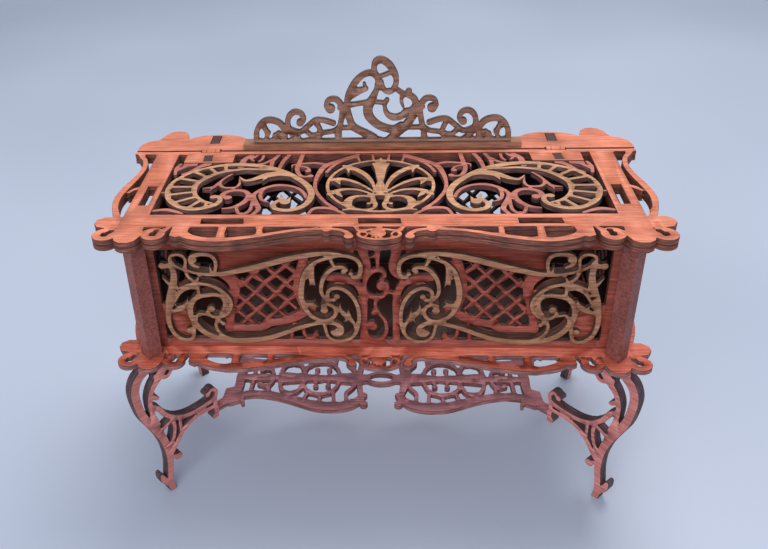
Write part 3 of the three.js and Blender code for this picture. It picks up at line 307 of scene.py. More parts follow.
# The material slots of a plate
FACE, EDGE, BACK, CHAMFERED = range(4)


def plate(name, node, body, sheet, place, faces, edges, back=None, plies=1):
    """Cuts a piece out of its sheet: two flat faces, upright edges and a small chamfer between them.

    It rides on the body and is shown in place of the node."""
    loops = sheet.outlines()
    outer = np.vstack(loops)
    inner = outer + sheet.inward(outer) * CHAMFER
    count = len(outer)
    links = []
    base = 0
    for loop in loops:
        links += [(base + i, base + (i + 1) % len(loop)) for i in range(len(loop))]
        base += len(loop)
    spots = [Vector(spot) for spot in inner]
    flat, _, triangles, origins, _, _ = delaunay_2d_cdt(spots, links, [], WITHIN_OUTLINES, WELD)
    source = [found[0] if found else -1 for found in origins]
    caps = []
    for triangle in triangles:
        middle = sum((flat[i] for i in triangle), Vector((0, 0))) / 3
        column = int(round((middle.x - sheet.left) / CELL))
        row = int(round((middle.y - sheet.bottom) / CELL))
        corners = tuple(source[i] for i in triangle)
        if sheet.field[row, column] < NEARLY_INSIDE and -1 not in corners:
            caps.append(corners)
    verts, polygons, slots = [], [], []
    for ply in range(plies):
        foot = ply * SHEET
        start = len(verts)
        for ring, level in (
            (inner, foot),
            (outer, foot + CHAMFER),
            (outer, foot + SHEET - CHAMFER),
            (inner, foot + SHEET),
        ):
            verts += [(x, y, level) for x, y in ring]
        for a, b, c in caps:
            polygons += [(start + c, start + b, start + a)]
            polygons += [(start + 3 * count + a, start + 3 * count + b, start + 3 * count + c)]
            slots += [BACK, FACE]
        for a, b in links:
            for ring in range(3):
                step = start + ring * count
                polygons.append((step + a, step + b, step + count + b, step + count + a))
                slots.append(EDGE if ring == 1 else CHAMFERED)
    mesh = bpy.data.meshes.new(name)
    mesh.from_pydata((np.array(verts) * MM).tolist(), [], polygons)
    for material in (faces, edges, back or faces, SCORCH):
        mesh.materials.append(material)
    mesh.polygons.foreach_set("material_index", slots)
    mesh.polygons.foreach_set("use_smooth", [True] * len(polygons))
    mesh.set_sharp_from_angle(angle=SHARP)
    mesh.update()
    piece = bpy.data.objects.new(name, mesh)
    bpy.context.scene.collection.objects.link(piece)
    piece.matrix_world = place
    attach(piece, body)
    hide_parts(node)


def drawn(draw, table, side=None, **more):
    """Draws each row of a table, on both sides of the middle unless one is given."""
    for row in table:
        for way in (1, -1) if side is None else (side,):
            draw(*row, side=way, **more)


def both_ends(sheet, box, cut=False):
    """A block at the right end and its twin at the left: nearest and farthest x, lowest and highest y."""
    near, far, bottom, top = box
    sheet.block(near, far, bottom, top, cut)
    sheet.block(-far, -near, bottom, top, cut)


def outline(sheet, spots):
    """Both halves of a piece, from the right half of its outline."""
    sheet.area(*spots, *[(-x, y) for x, y in reversed(spots) if x > 0])


def flipped(spots, way):
    """The spots, turned over to the rear where the way is -1."""
    return [(x, way * y) for x, y in spots]


# Drawings
# A band is its width, or the widths along it, and the spots that it runs through. A ball is its middle and
# radius, and an area the corners around it. Where a comment doesn't say that they are drawn once, they are
# drawn for the right half and turned over for the left one.

# The lid and the plates, in plan: x to the right, y to the rear
RIM_BANDS = [
    ([5, 6.5, 5.2, 4.2, 4, 3.6, 3.2, 3, 2.8, 2.6, 2.6, 2.6, 2.8, 3.2], (105, -50), (103.5, -57), (99, -62),
     (92, -65), (84, -66), (75, -65.2), (66, -63), (58, -60.6), (50, -58), (42, -56), (34, -55), (26, -54.8),
     (19, -56.5), (15.6, -60)),
    ([3.2, 3.4, 3, 3.2, 3.8, 4.4, 4, 3.4, 4], (149.6, 42), (146.5, 36), (143.2, 30), (141.4, 20),
     (142.8, 7), (145.6, -6.5), (147, -18.6), (145.4, -30), (141.6, -41)),
    ([2.4, 2.2, 1.8], (137, -6), (140.6, -8.6), (142.6, -12.4)),
    ([3.8, 4.6], (82.2, -51), (81.6, -65)),
    ([3, 3.4], (62.4, -51), (62, -60)),
    (5.5, (27.2, -51), (27.2, -55)),
    (2.4, (109.4, -50), (112, -57)),
    ([2.6, 2.2], (13.4, -50), (10.8, -56.5)),
]
RIM_AREAS = [
    [(123.8, -50), (123.4, -62), (125.4, -67.4), (128.4, -69.4), (133.2, -69.4), (136.4, -67), (138, -62),
     (138.2, -50)],
    [(136, -41.5), (147.6, -41.8), (151.4, -44.6), (151.8, -48.6), (149.4, -52.6), (144.6, -54), (136, -54)],
    [(98.5, -50), (108.6, -50), (108.6, -61.6), (105, -63.6), (100.4, -61)],
    [(136, 36.5), (139, 39.4), (152, 39.6), (152, 43), (136, 43)],
]
RIM_BALLS = [
    (15.6, -62.4, 2.6),
]
# Rings at the corners: middle, radius, radius of the hole, and where the mouth of the hole ends
RIM_RINGS = [
    (142.8, -60.6, 6.6, 2.3, (140, -57)),
    (117.2, -60.2, 6.4, 2.3, (116, -56.4)),
]
RING_MOUTH = [2.2, 3]
# The medallion in the middle of the front, an oval ring with half its size across and in depth; drawn once
MEDALLION = (0, -60.3)
MEDALLION_OUTER = (11.8, 6.3)
MEDALLION_INNER = (9.6, 4.2)
MEDALLION_BOSS = (-0.6, -59.4, 4.2)
MEDALLION_BANDS = [
    ([3, 2], (0, -50), (-0.5, -59)),
    ([1.6, 1], (-9, -56), (-6, -60), (-7.5, -63)),
    ([1.6, 1], (9, -56), (6.4, -60), (7, -63.4)),
]
# The plain field of the plates, and the window of the lid: left, right, front and rear
FIELD_HALF = 138
LID_FIELD_FRONT = -52.6
BASE_FIELD_FRONT = -54.6
BASE_FIELD_REAR = 50
LID_WINDOW = (-124, 124, -39, 39)
# Slots at both ends: nearest and farthest x, front and rear
RAIL_SLOT = (71.5, 95, -49.2, -43.5)
END_SLOT = (127.5, 133, -28.5, -4.5)
LEAF_SLOT = (102.15, 107.85, 28.8, 37.5)
LEAF_CHANNEL = (102.15, 107.85, 28.8, 50)
KNUCKLE_NOTCH = (98.9, 111.1, 41.7, 50)
STRIP_SLOT = (102.15, 107.85, 55, 67.8)
STRIP_NOTCH = (98.9, 111.1, 40, 46.1)
STRIP_CHANNEL = (98.9, 111.1, 40, 67.8)
# Solid parts at both ends, in the same way
LEAF_GROUND = (89, 119, 27, LID_REAR)
BASE_END = (136, 142, -30, 46)
# The slot in the middle of the front rail: left, right, front and rear
MIDDLE_SLOT = (-11.5, 11.5, -49.2, -43.5)
# The sheets that the plates are cut from
RIM_FRONT = -70
STRIP_FRONT = 44
PLATE_REAR = 78
# The right half of the outline behind the walls
EDGE_REAR = [
    (152, 44.8), (152, 50), (151, 55), (148, 59), (144, 61), (141.5, 62), (140.2, 66), (138.8, 70.6),
    (136, 74.2), (132, 75.6), (128, 75.2), (125, 72), (123.6, 67), (122.4, 63), (120, 65), (114, 68.2),
    (104, 69.8), (96, 69), (90, 66.6), (86, 63), (82.6, 59.6), (78, 58.6), (40, 58.6), (0, 58.6)
]
# The rim of the base is broader than that of the lid
BASE_FRONT = [
    ([3.4, 4.4, 5, 5, 5, 5, 5, 4.8], (26, -55.6), (34, -56.2), (42, -57.2), (50, -59.2), (58, -61.4),
     (66, -63.6), (76, -65.4), (86, -66)),
]
# The red tracery in the window of the lid, and how far it lies below the face of the frame
TRACERY_HALF = 128
TRACERY_DROP = 0.5
LID_RED_AREAS = [
    [(119, 22), (119, 28.4), (110, 28.4), (110, 24)],
]
LID_RED_BANDS = [
    ([3, 3, 4, 3.4, 2.4, 2.4, 2.6, 2.4, 2.4], (14, 38), (20, 33.6), (32, 23.5), (35.8, 12.6), (37.2, 1),
     (36.4, -9), (33.8, -16.4), (29.6, -24.6), (23.6, -32)),
    ([2, 2, 2.4, 2.4], (15, 34.6), (23, 29), (28.6, 21.6), (31.4, 14)),
    (1.8, (14.4, 38), (12.6, 28)),
    (1.8, (5, 38), (4.4, 30)),
    ([2, 2.6, 3, 2.6, 2], (18.6, -38), (25, -32.2), (31, -30.6), (36, -32), (38.6, -39)),
    ([3, 3, 3, 2.6, 2], (47.6, 40), (48.4, 30), (49.4, 19.8), (48, 12.6), (45.6, 8.6), (41, 8)),
    ([2, 1.6, 0.6], (49.6, 25), (52.4, 24), (52.6, 20)),
    ([3, 2.6, 2.4], (32.6, 24.6), (39.6, 26.6), (48, 25.4)),
    ([2.2, 2.2, 1.8], (47.8, 22.4), (43.6, 20.6), (41.8, 16.8)),
    ([3, 3, 2.6], (56, 38), (58.4, 30.6), (59.6, 22.6), (60.8, 14)),
    ([2.8, 3, 2.6], (62.4, 38), (65, 30), (65, 20)),
    ([2.2, 2.4, 2.4], (66, 31.6), (70, 26.6), (76.4, 24.4)),
    ([2.2, 2, 1.8], (71.6, 38), (71.8, 33), (73.4, 29.4)),
    ([1.8, 2.2, 2.4, 2], (77, 30.6), (78.6, 33.4), (76.4, 36.4), (75, 39)),
    ([3.4, 4, 4.2], (79, 38), (82.6, 32), (83.4, 22)),
    ([3.4, 2.6, 3.2], (92, 27), (93, 24), (98, 22)),
    ([5, 3.6, 3, 3], (104, 26), (108, 22.6), (112, 16), (116, 12)),
    (3, (114, 27), (121, 18)),
    ([2.4, 2.6, 2.2], (120.6, 26), (122, 20), (121, 12)),
    (1.8, (121, -11.4), (125, -11.6)),
    ([2, 3.4, 2.4], (107, -36.6), (116, -32.4), (123.4, -33.6)),
    ([2.4, 2.4, 2.4, 2.8, 2.6, 2.6, 3.4, 3.2, 2.4], (41, -18), (42.6, -13), (45.6, -8), (49.9, -4.6),
     (54.9, -2.9), (59.8, -3.2), (64.8, -6), (68.4, -9.8), (70.4, -14), (70, -19), (68.4, -24), (66.4, -29),
     (66, -33), (68.6, -39)),
    ([1.2, 2.6, 2.4, 0.8], (65, -6.6), (66.8, -12), (66.6, -17.4), (64.8, -21.6), (61, -24)),
    ([2.4, 2.2, 2.4, 2.2, 2.2], (70.8, -14), (70.2, -24), (70.4, -33), (73, -37), (76, -36.4), (78, -31),
     (77.6, -27.6)),
    ([2.4, 3.6, 3.2, 3, 3, 3.4, 3.6, 3.4, 2.6, 1.6], (85.4, -17), (88.2, -16.6), (87.8, -13),
     (85.2, -10.2), (81, -9), (77, -10), (74.2, -13.2), (73.4, -18), (75, -23.6), (77.8, -27.6),
     (81.2, -30.2), (85.6, -31.2)),
    ([0.6, 2, 1.8, 2.2, 2.4, 2, 1.8, 1.6], (82, 7.4), (80.8, 0), (82, -4.8), (85.6, -6), (89.6, -5.2),
     (91.9, -1.6), (91.8, 3.4), (89.4, 8.6), (87, 12)),
    ([1.4, 1.6, 3, 0.4], (91, 5.6), (93.4, 0), (95.4, -5), (101.4, -6.2)),
    ([2, 0.4], (95.6, -5), (96.2, -10)),
    ([2.4, 2], (83.6, -6), (83, -9)),
]
LID_RED_BALLS = [
    (42.6, 15.8, 1.9),
    (85, -18, 2.6),
    (40.6, 9, 1.9),
]
# The tan scrolls, and the sheet that they are cut from
SCROLL_NEAR = 35
SCROLL_FAR = 125
SCROLL_FRONT = -38
SCROLL_REAR = 30
SCROLL_BANDS = [
    ([2.6, 3.2, 3.6, 3.8, 3.8, 4, 4.2, 4.2, 4.2, 4.2, 4.2, 4.6, 4.4, 3.6, 3, 2.8, 2.6, 2.6, 2.8, 3, 3.4, 3.4,
      3.6, 3.6, 3.4, 3, 2.6], (54.6, -21.4), (58, -26.6), (56.8, -32), (51, -34.4), (45, -32.6),
     (40.8, -28), (38.6, -22), (38.2, -15), (39.8, -8), (43, -1.6), (47.8, 4.8), (53.4, 11), (58.6, 15.2),
     (64.2, 18.8), (71.2, 21.8), (78.4, 23.6), (85.4, 24.2), (92.4, 23.4), (98.2, 21.8), (104, 19),
     (109.6, 15.4), (114.4, 10), (118.4, 4), (120.4, -2.6), (120.8, -9.6), (119.2, -17), (116, -23.6),
     (111.2, -28.8), (106, -32), (99.8, -32.6), (94.2, -30.4), (90, -27), (88.4, -22.4), (89.8, -18.4),
     (92.6, -17)),
    ([2.4, 2.8, 2.8, 2.8, 3, 3.4, 3.4, 3, 2.8, 2.4, 1.8], (60, 16), (66, 17), (72.6, 17.4), (79.6, 17.8),
     (85.6, 16.6), (91.2, 14.8), (96.2, 11.8), (100.6, 6.8), (104, 1.8), (105.4, -3.2), (105.2, -9.6),
     (103.8, -15.2), (100.8, -20), (97, -23.6), (92.4, -25.8)),
    ([4, 6, 6.4, 4.6, 3.4, 2.6, 0.6], (52, 9), (58, 11.4), (65, 9.8), (70, 6.4), (74, 3.4), (78.4, 2.6),
     (82, 7.6)),
    ([3, 0.4], (66, 7), (67.8, 1.6)),
    ([3, 0.4], (54, -21), (55.2, -15.4)),
    ([2.6, 0.4], (50.4, -22.4), (49.4, -18.4)),
]
SCROLL_BALLS = [
    (92.8, -18.2, 2.2),
    (52, -24.4, 3.1),
]
SPOKES = [
    ([2.4, 2.8], (91, 15), (92.6, 23)),
    ([2.4, 2.8], (96.2, 12.4), (101.8, 20)),
    ([2.4, 2.8], (100.8, 7), (109.2, 14)),
    ([2.4, 2.8], (104.4, 1.4), (115.6, 5.4)),
    ([2.4, 2.8], (106, -5.4), (120, -5.4)),
    ([2.4, 2.8], (105.6, -12), (118.8, -15.2)),
    ([2.4, 2.8], (103.4, -18), (114.4, -25)),
    ([2.4, 2.8], (100, -23.4), (105, -31.4)),
    ([2, 2.2], (95.6, -25), (95.4, -30.6)),
]
# The rosette: a ring with half its size across and in depth, and what fills it
ROSETTE_HALF = 34
ROSETTE_FRONT = -40
RING_MIDDLE = (0, -3.6)
RING_OUTER = (31, 33.4)
RING_INNER = (28.8, 31.2)
ROSETTE_BANDS = [
    ([1.8, 2.4, 3.4, 4, 4.2, 3.6, 2.6], (2.2, -13), (4.6, -1), (8.4, 8.6), (13.4, 15.2), (17.6, 18.8),
     (21.6, 21)),
    ([3, 2.4, 0.4], (20, 20.4), (18.8, 16), (18.6, 11.4)),
    ([1.4, 2, 2.8, 3, 3.2, 2.6], (3.4, -13), (8.4, -6.4), (14.4, -0.4), (19.8, 3), (24.4, 3.8), (29, 2)),
    ([4, 2.8, 0.4], (25.4, 2.6), (24, 0), (22.8, -3.6)),
    ([1.4, 2, 2.4, 3, 3.6, 2.6], (4.6, -15.4), (10.2, -11.4), (15, -9.6), (20.4, -9.6), (25, -11.8),
     (28.6, -15.6)),
    ([4.2, 3, 0.4], (24.6, -12.4), (22.8, -15.6), (20.6, -19.2)),
    ([1.8, 2.2, 3.6, 5, 5, 3.4, 2.2, 2, 2.4, 2.8, 2.8, 2.4], (4.4, -17.8), (11.4, -17.8), (15.4, -19.8),
     (17.2, -23.6), (17.4, -27.8), (15.6, -31.8), (11.6, -33.8), (6.4, -33.8), (3.2, -31.6), (2.4, -27.8),
     (3.2, -24), (4.8, -19)),
    ([2, 1.6], (16, -33), (19.6, -34)),
]
ROSETTE_BALLS = [
    (4.6, -17, 2.4),
    (6, -26.6, 1.3),
]
# The right half of the outline of the spear in the middle
SPEAR = [
    (0, 33), (1.6, 28.4), (3, 25.6), (5.6, 24.4), (4.6, 21), (3.6, 17), (2.8, 9), (1.8, 0), (1.2, -8),
    (2.4, -17)
]

# The front wall and its overlay, seen from the front: x to the right, z up from the wall's foot
WALL_SHEET_HALF = 135
FOOT_RAIL_TOP = 5.4
HEAD_RAIL_FOOT = 64.4
STILE_NEAR = 122.6
# The bars of a lattice, and where two of them cross
LATTICE_PITCH = 11.8
LATTICE_BAR = 1.8
LATTICE_MIDDLE = (63.1, 43)
SIDE_LATTICE_MIDDLE = (0, 37)
LATTICE = [
    (43.2, 58.4), (54.1, 55.7), (63.2, 52.5), (72.3, 50.3), (76.9, 45), (76.4, 39.4), (78.7, 33), (81.4, 23),
    (83, 15.7), (68.7, 15.7), (62.3, 19), (52.3, 21), (47.6, 24.6), (45.3, 28), (47.1, 35), (47.6, 42),
    (46.2, 49)
]
WALL_BANDS = [
    ([4.6, 4, 4, 4, 4.2, 4.6, 4], (9.4, 0), (9, 20), (8.9, 31), (10.4, 39), (13.6, 43.8), (20, 46),
     (28, 46.8)),
    ([6, 5, 4.6, 3.6, 3], (9.4, 66), (8.2, 60), (7, 54), (8, 50), (11.4, 47)),
    (5, (40.6, 60), (43.6, 50), (45, 42), (44.4, 35), (41.6, 26)),
    ([5, 5.4, 5, 4.4, 4], (38, 26.4), (44, 22.6), (51.4, 18.8), (61.8, 16.4), (68.2, 13.2), (85, 12.8)),
    ([5, 6, 6, 5.6, 7, 6], (86, 13), (84.6, 23.4), (82, 33), (80.2, 39.6), (81.6, 45.6), (86.4, 49.6)),
    ([4, 3.6, 3.6, 3.6], (84, 49.6), (73, 52.6), (63.6, 54.8), (54.6, 58), (42, 61.4)),
    ([2.2, 2, 2, 1.8], (37.4, 6.4), (40.4, 5.8), (43, 8.6), (43.4, 14)),
    ([2.6, 2.2], (50.4, 3), (50.4, 11)),
    (2.4, (29, 66), (30, 62)),
    (2.4, (61, 66), (61, 56)),
    (2.4, (88, 66), (88, 50)),
]
WALL_BALLS = [
    (36.4, 8, 1.7),
]
WALL_AREAS = [
    [(14, 67), (14, 62.4), (30, 63), (45, 61.6), (60, 57), (76, 53), (88, 51.6), (88, 67)],
    [(106.4, 3), (119.6, 3), (119.6, 22), (116, 25), (110, 25.6), (106.4, 20)],
    [(118, 16), (124, 16), (124, 29), (118, 29)],
]
# The lyre in the middle of the front wall, drawn once and a little left of the middle, as in the photo
WALL_LYRE = [
    ([1.8, 2.1, 2.2, 2.2, 2.2, 2.2, 2.2, 2.1, 1.9, 2.1, 1.9, 1.9], (-3.6, 16.8), (-7, 15.8), (-8, 11.4),
     (-6.6, 7), (-2.8, 5), (1.2, 6.2), (3.4, 10), (3.6, 14.8), (2.6, 18.8), (0, 22.6), (-2.2, 26.8),
     (-2.6, 30), (-1.6, 34.4)),
    ([1.9, 2.1, 2.2, 2.4, 2.6, 2.4, 2.1, 2.1, 1.9, 1.6], (0.8, 46), (2.8, 48), (1.8, 50.6), (-1, 51.6),
     (-4.6, 50.2), (-7.4, 46.4), (-8.4, 42), (-8, 37.6), (-5.4, 34.6), (-1.4, 33.6), (2, 35), (4, 38.6),
     (4, 42.6), (1.8, 44)),
    ([1.9, 1.9, 4.3], (-1, 51.8), (-1.2, 56.6), (-1.2, 66)),
    ([1.6, 0.4], (-1.6, 61.6), (-5.6, 59.4)),
    (1.4, (3.4, 38), (8.4, 36)),
    (1.6, (-8, 39), (-11.2, 37)),
    (1.4, (-2.2, 24), (-4.2, 23.6)),
]
WALL_LYRE_BALLS = [
    (-4, 14.4, 2.5),
    (1, 41.6, 2.9),
    (-3.4, 23.8, 1.5),
]
# The overlays: the strokes that have a red twin in the wall behind them, then the others
OVERLAY_NEAR = 5
OVERLAY_FAR = 130
OVERLAY_MAIN = [
    ([2, 2.2, 2.4, 2.4, 2.4, 2.4, 2.4, 2.2, 2.2, 2, 2], (25, 34.4), (27.6, 34.6), (28.6, 37.5), (28, 40.2),
     (26, 41.8), (23, 42.3), (19.7, 41.2), (16.6, 38.6), (14, 34.8), (12.4, 30.7), (11.6, 26.3),
     (11.5, 21.6), (12.2, 17.1), (13.2, 13.2), (15.2, 9.6), (18.6, 7.2), (22.6, 6.4), (26.6, 7.2),
     (29.3, 9.8), (30.3, 13.4), (31, 17.6)),
    ([1.8, 2.2, 2.4, 2.4, 2.4, 2.6, 3, 3.4, 3.2, 2.6, 2.2, 2], (31.8, 30.6), (29.3, 31.4), (26.3, 30.6),
     (24.5, 28.1), (24.5, 25.2), (26.2, 22.4), (28.5, 20.8), (31.8, 20.4), (34.9, 21.4), (37.9, 23.4),
     (40.1, 26.2), (42, 30.5), (43.2, 36), (43, 41), (42.3, 45.2), (41.2, 49.5), (39.4, 53.5),
     (36.8, 56.8), (33.7, 59.1), (30.2, 60.5), (27, 61.2)),
    ([2.2, 3, 3.6, 3.6, 3.4, 2.8, 2.4, 2.4], (26, 18.9), (33.6, 19), (40.5, 17.2), (47, 14.9),
     (54.1, 11.8), (61.4, 8.9), (68.7, 7.3), (76.9, 6.5), (84.1, 6.6), (90.5, 7.5), (96, 9.6),
     (100.5, 12.9), (103.7, 17.4), (105.9, 22.8), (106.1, 27.5), (104.7, 31.9), (102.3, 35), (99.1, 36.7),
     (95.3, 37.4), (91.6, 37.8), (88.3, 36.8), (86.5, 34.6), (86, 31.9), (86.9, 27.9), (88.8, 25.2)),
    ([2, 3, 3.7, 3.7, 3.5, 3, 2.2, 1.8, 1.7], (21, 63.6), (30.5, 64.1), (40.5, 62.8), (50.5, 60.4),
     (61.4, 57.2), (70.5, 54.7), (77.8, 53), (85, 51.4), (93, 50.9), (97.7, 51.4), (102.3, 52.4),
     (105.1, 53.6)),
    ([1.6, 2, 2.2, 2.4, 2.6, 2.4, 2.2, 2], (111.6, 41.3), (108, 43), (104.7, 44.2), (100.9, 44.6),
     (96.5, 44.6), (92.5, 43.6), (88.8, 41.5), (85.6, 38.3), (83.3, 34.8), (82.7, 31), (83.8, 27.4),
     (86.2, 24.4), (89, 22.9), (92, 22.4), (95, 23.6), (96.6, 26)),
    ([3, 4, 4.4, 4.2, 3.4, 2.8, 2.6, 2.4, 2.2, 2.2], (113, 55.5), (112.4, 51.5), (113, 46.4),
     (114.4, 41.8), (116, 37.2), (117.4, 32.6), (118.4, 27.8), (119.2, 23), (119.3, 18.4), (118.6, 14.2),
     (116.8, 10.2), (113.4, 7.4), (109.8, 6.6), (107, 8), (105.8, 11.6), (105.4, 16)),
]
OVERLAY_BANDS = [
    ([2.4, 2.6, 2.6, 2.4, 2.2, 1.8], (14.5, 49.4), (11.8, 49.6), (10.4, 52.4), (10.2, 56), (11.2, 59),
     (13.8, 61.2), (17.5, 62.6), (21.5, 62.8), (25, 62)),
    ([2, 1.8], (26.3, 61), (25.6, 58.6), (24.2, 55.6)),
    ([2, 2.4, 2.6, 2.4, 2.2, 2], (17.9, 53.9), (19.6, 55.4), (23, 55.4), (26.6, 53.6), (29.3, 50.4),
     (31.2, 46.6), (32, 42), (31.8, 38.8), (30.6, 36.3), (28.4, 34)),
    ([1.8, 2, 3.4, 2, 0.3], (13.4, 14), (14.2, 18.2), (17, 22.4), (20.6, 26), (21.9, 28.6), (21.8, 31.8)),
    ([1.6, 0.3], (16.6, 23.6), (17.6, 28.4)),
    ([1.8, 0.3], (17.6, 22.4), (20.2, 19.4)),
    ([3, 2, 0.3], (40.6, 31), (37, 31.2), (34.2, 29.6)),
    ([1.6, 0.3], (37.4, 31.6), (35.2, 33.7)),
    ([1.6, 2.8, 3.4, 2.6], (35.6, 57.6), (36.6, 53.6), (37, 49), (36.6, 46)),
    ([1.6, 0.3], (36.2, 47), (34.9, 42.6)),
    ([1.6, 0.3], (37.2, 47), (38.3, 44.2)),
    ([2, 2.6, 3.4, 3.6, 3], (31.8, 19.2), (28.5, 19.3), (25.2, 18.6), (22.6, 16.8), (21.6, 14.2),
     (22.6, 11.8), (25, 11.2), (26.4, 12.6)),
    ([1.8, 2.2, 2.4, 2.4, 3.2, 2.6, 1.6], (89.7, 51.8), (88.6, 56.4), (88.7, 59.8), (90.4, 62.6),
     (94, 63.6), (98.6, 63.3), (101.6, 61.4), (102, 58.8), (100.8, 56.8), (98.2, 55.6)),
    ([2, 0.3], (91.4, 52.4), (92.1, 56.4)),
    (1.8, (105.5, 54), (105.3, 57), (104.9, 60), (106.5, 62.9), (110.3, 63.4), (113, 62),
     (113.4, 58.6), (110.4, 56), (106.6, 53.7)),
    ([3, 3.2, 2.8], (112.6, 58), (115, 56.4), (118.2, 56.3)),
    ([1.8, 2, 2], (105.6, 53.3), (105, 50.1), (102.6, 47), (100.4, 45.2), (100.1, 42), (100.1, 38.4)),
    ([2.2, 0.4], (100.2, 46.4), (98.6, 49.6)),
    ([2, 2.2, 2.4], (101.8, 42.6), (106.5, 41.6), (110.3, 39.2), (112.8, 36), (115, 32.4), (116.8, 29.6)),
    (1.6, (106, 11.4), (108.4, 13)),
    ([2.6, 1.8, 0.3], (113.8, 42.6), (116.6, 45.6), (119.2, 49.2)),
    ([1.6, 3, 3.4, 1.6, 0.3], (117, 26), (113.1, 27.5), (109.8, 29.3), (107.5, 32), (106.8, 34.8)),
    ([1.6, 0.3], (112.6, 28.6), (114, 31)),
    (1.8, (88.4, 18.4), (90.2, 19.8), (90.4, 21.8)),
    ([2, 2, 2.2, 2.2], (90.2, 21.6), (92.4, 18.4), (92.4, 15), (91, 11.8), (88.6, 9.4), (84.4, 7.6)),
    ([1.6, 1.8, 2, 2], (98, 24.4), (101.6, 24.6), (103.2, 22.2), (103.6, 18.6), (102.4, 15)),
]
OVERLAY_BALLS = [
    (15.6, 51.5, 1.3),
    (19.3, 52.8, 1.5),
    (23.5, 36.6, 1.7),
    (30.8, 27.6, 2.2),
    (24.2, 12.6, 2.3),
    (100.3, 60.2, 1.7),
    (118.2, 56.3, 2),
    (94, 28.2, 2.1),
    (108.4, 13.2, 1.9),
    (88.3, 18.2, 1.3),
]
# The side walls and their overlays, seen from outside: half the outline of the window, then what is around it
SIDE_SHEET_HALF = 45
SIDE_LATTICE = [
    (0, 58), (10, 55), (16, 48), (17, 38), (15, 29), (12, 22), (0, 18)
]
SIDE_OPENINGS = [
    [(39, 62), (39, 12), (27, 12), (25, 20), (24, 30), (25, 42), (22, 55), (24, 62)],
]
SIDE_BANDS = [
    ([2.6, 3, 3, 3], (26, 64), (32, 58), (36, 52), (35, 44), (30, 40), (28, 44), (31, 48)),
    ([2.6, 3, 3, 3], (26, 10), (33, 15), (37, 22), (35, 30), (30, 33), (27.5, 29), (30.5, 25)),
    (2.6, (35, 44), (36.5, 37), (35, 30)),
    (2.6, (36.5, 37), (41, 37)),
    (2.6, (29, 40), (22, 40)),
    (2.6, (29, 33), (22, 32)),
]
SIDE_BALLS = [
    (31.4, 48, 2.1),
    (30.8, 25, 2.1),
]
SIDE_OVERLAY_BANDS = [
    ([2.2, 3.2, 4, 3.2, 2.4, 2.2], (10, 63), (17, 60), (23, 53), (24.5, 42), (22.5, 30),
     (23, 20), (17, 12), (5, 7)),
    ([3, 2.8, 2.4], (0, 67), (6, 66), (10, 63), (9, 58.5)),
    ([3, 2.8, 2.4], (0, 6), (5, 7), (8, 10), (6, 14)),
    ([2.4, 3, 2.6, 2.2], (24, 50), (30, 52), (35, 49), (35, 44), (31, 43)),
    ([2.4, 3, 2.6, 2.2], (23, 24), (29, 21), (35, 23), (35.5, 28), (31.5, 30)),
    ([2, 2.6, 0.3], (24, 40), (19, 43), (17, 49)),
    ([2, 2.6, 0.3], (22.6, 31), (18, 27), (17.6, 21)),
]
SIDE_OVERLAY_BALLS = [
    (30.5, 43.5, 2.1),
    (31, 30, 2.1),
    (8.6, 58.6, 1.9),
    (6, 14, 1.9),
]
# A leg, seen from its side and drawn once: x away from the box, z up from the floor
LEG_SHEET = (-40, 22, 0, 104)
LEG_STEM = (3, (-35, 38.5), (-35, 53))
# How far a cut runs past the end of a piece
BEYOND = 50
LEG_BANDS = [
    ([5.4, 6, 5.6, 5.2, 5.2, 5.4, 5.2, 5, 4.6, 4.4, 4], (6, 98.5), (13, 94), (16.4, 86.6), (16, 76),
     (13.8, 66), (9.2, 56), (5, 46), (2.4, 35), (2.2, 24), (3.6, 14), (4.4, 4)),
    ([7, 4.8, 3.8, 3.4, 3, 3, 4], (-5, 95.6), (0.2, 88.6), (5, 83.6), (7.8, 77.6), (8.5, 71), (7.8, 63.6),
     (6, 56)),
    ([3.6, 3.4, 3.2, 3.2, 3.4, 3.6], (8, 71), (3.6, 67), (0, 60.6), (-6, 54.6), (-15, 51.2), (-26, 51),
     (-35, 52.6)),
    ([4, 3.6, 3.4, 3, 3], (2, 28), (-3.4, 34), (-9, 40.6), (-16, 45.4), (-24, 47), (-35, 47)),
    ([2.8, 2.6, 2.6], (-4, 56.6), (-4.6, 48), (-2.6, 40), (1.6, 34)),
    (2.4, (-2, 53.4), (5, 50)),
    ([2.6, 2.4], (-9, 53), (-8.6, 40)),
    ([3, 2.6, 2.2], (-35, 52), (-36.6, 57), (-34, 60.4), (-30.6, 58.4)),
    ([3, 2.8, 2.4], (-35, 47), (-36, 42), (-34, 39)),
    ([3, 2.8], (1, 27), (-3.4, 24.4)),
    ([3.6, 4.4, 4.4, 2.6], (3.8, 4.6), (6.6, 8.6), (8.8, 12), (9.8, 16)),
    ([3.2, 2.8, 2], (2, 91), (-5, 87), (-9, 90.4)),
    ([3.4, 2.6], (5.6, 77), (3.2, 75)),
]
LEG_AREAS = [
    [(-13, 96.5), (-13, 101.7), (12, 101.7), (12, 96.5)],
    [(1.2, 0), (5.6, 0), (6.6, 5), (2.4, 7)],
]
LEG_BALLS = [
    (-34, 39, 2.3),
    (-4, 24, 2.6),
    (-9.5, 91, 2.2),
    (-30.4, 58.2, 1.9),
]
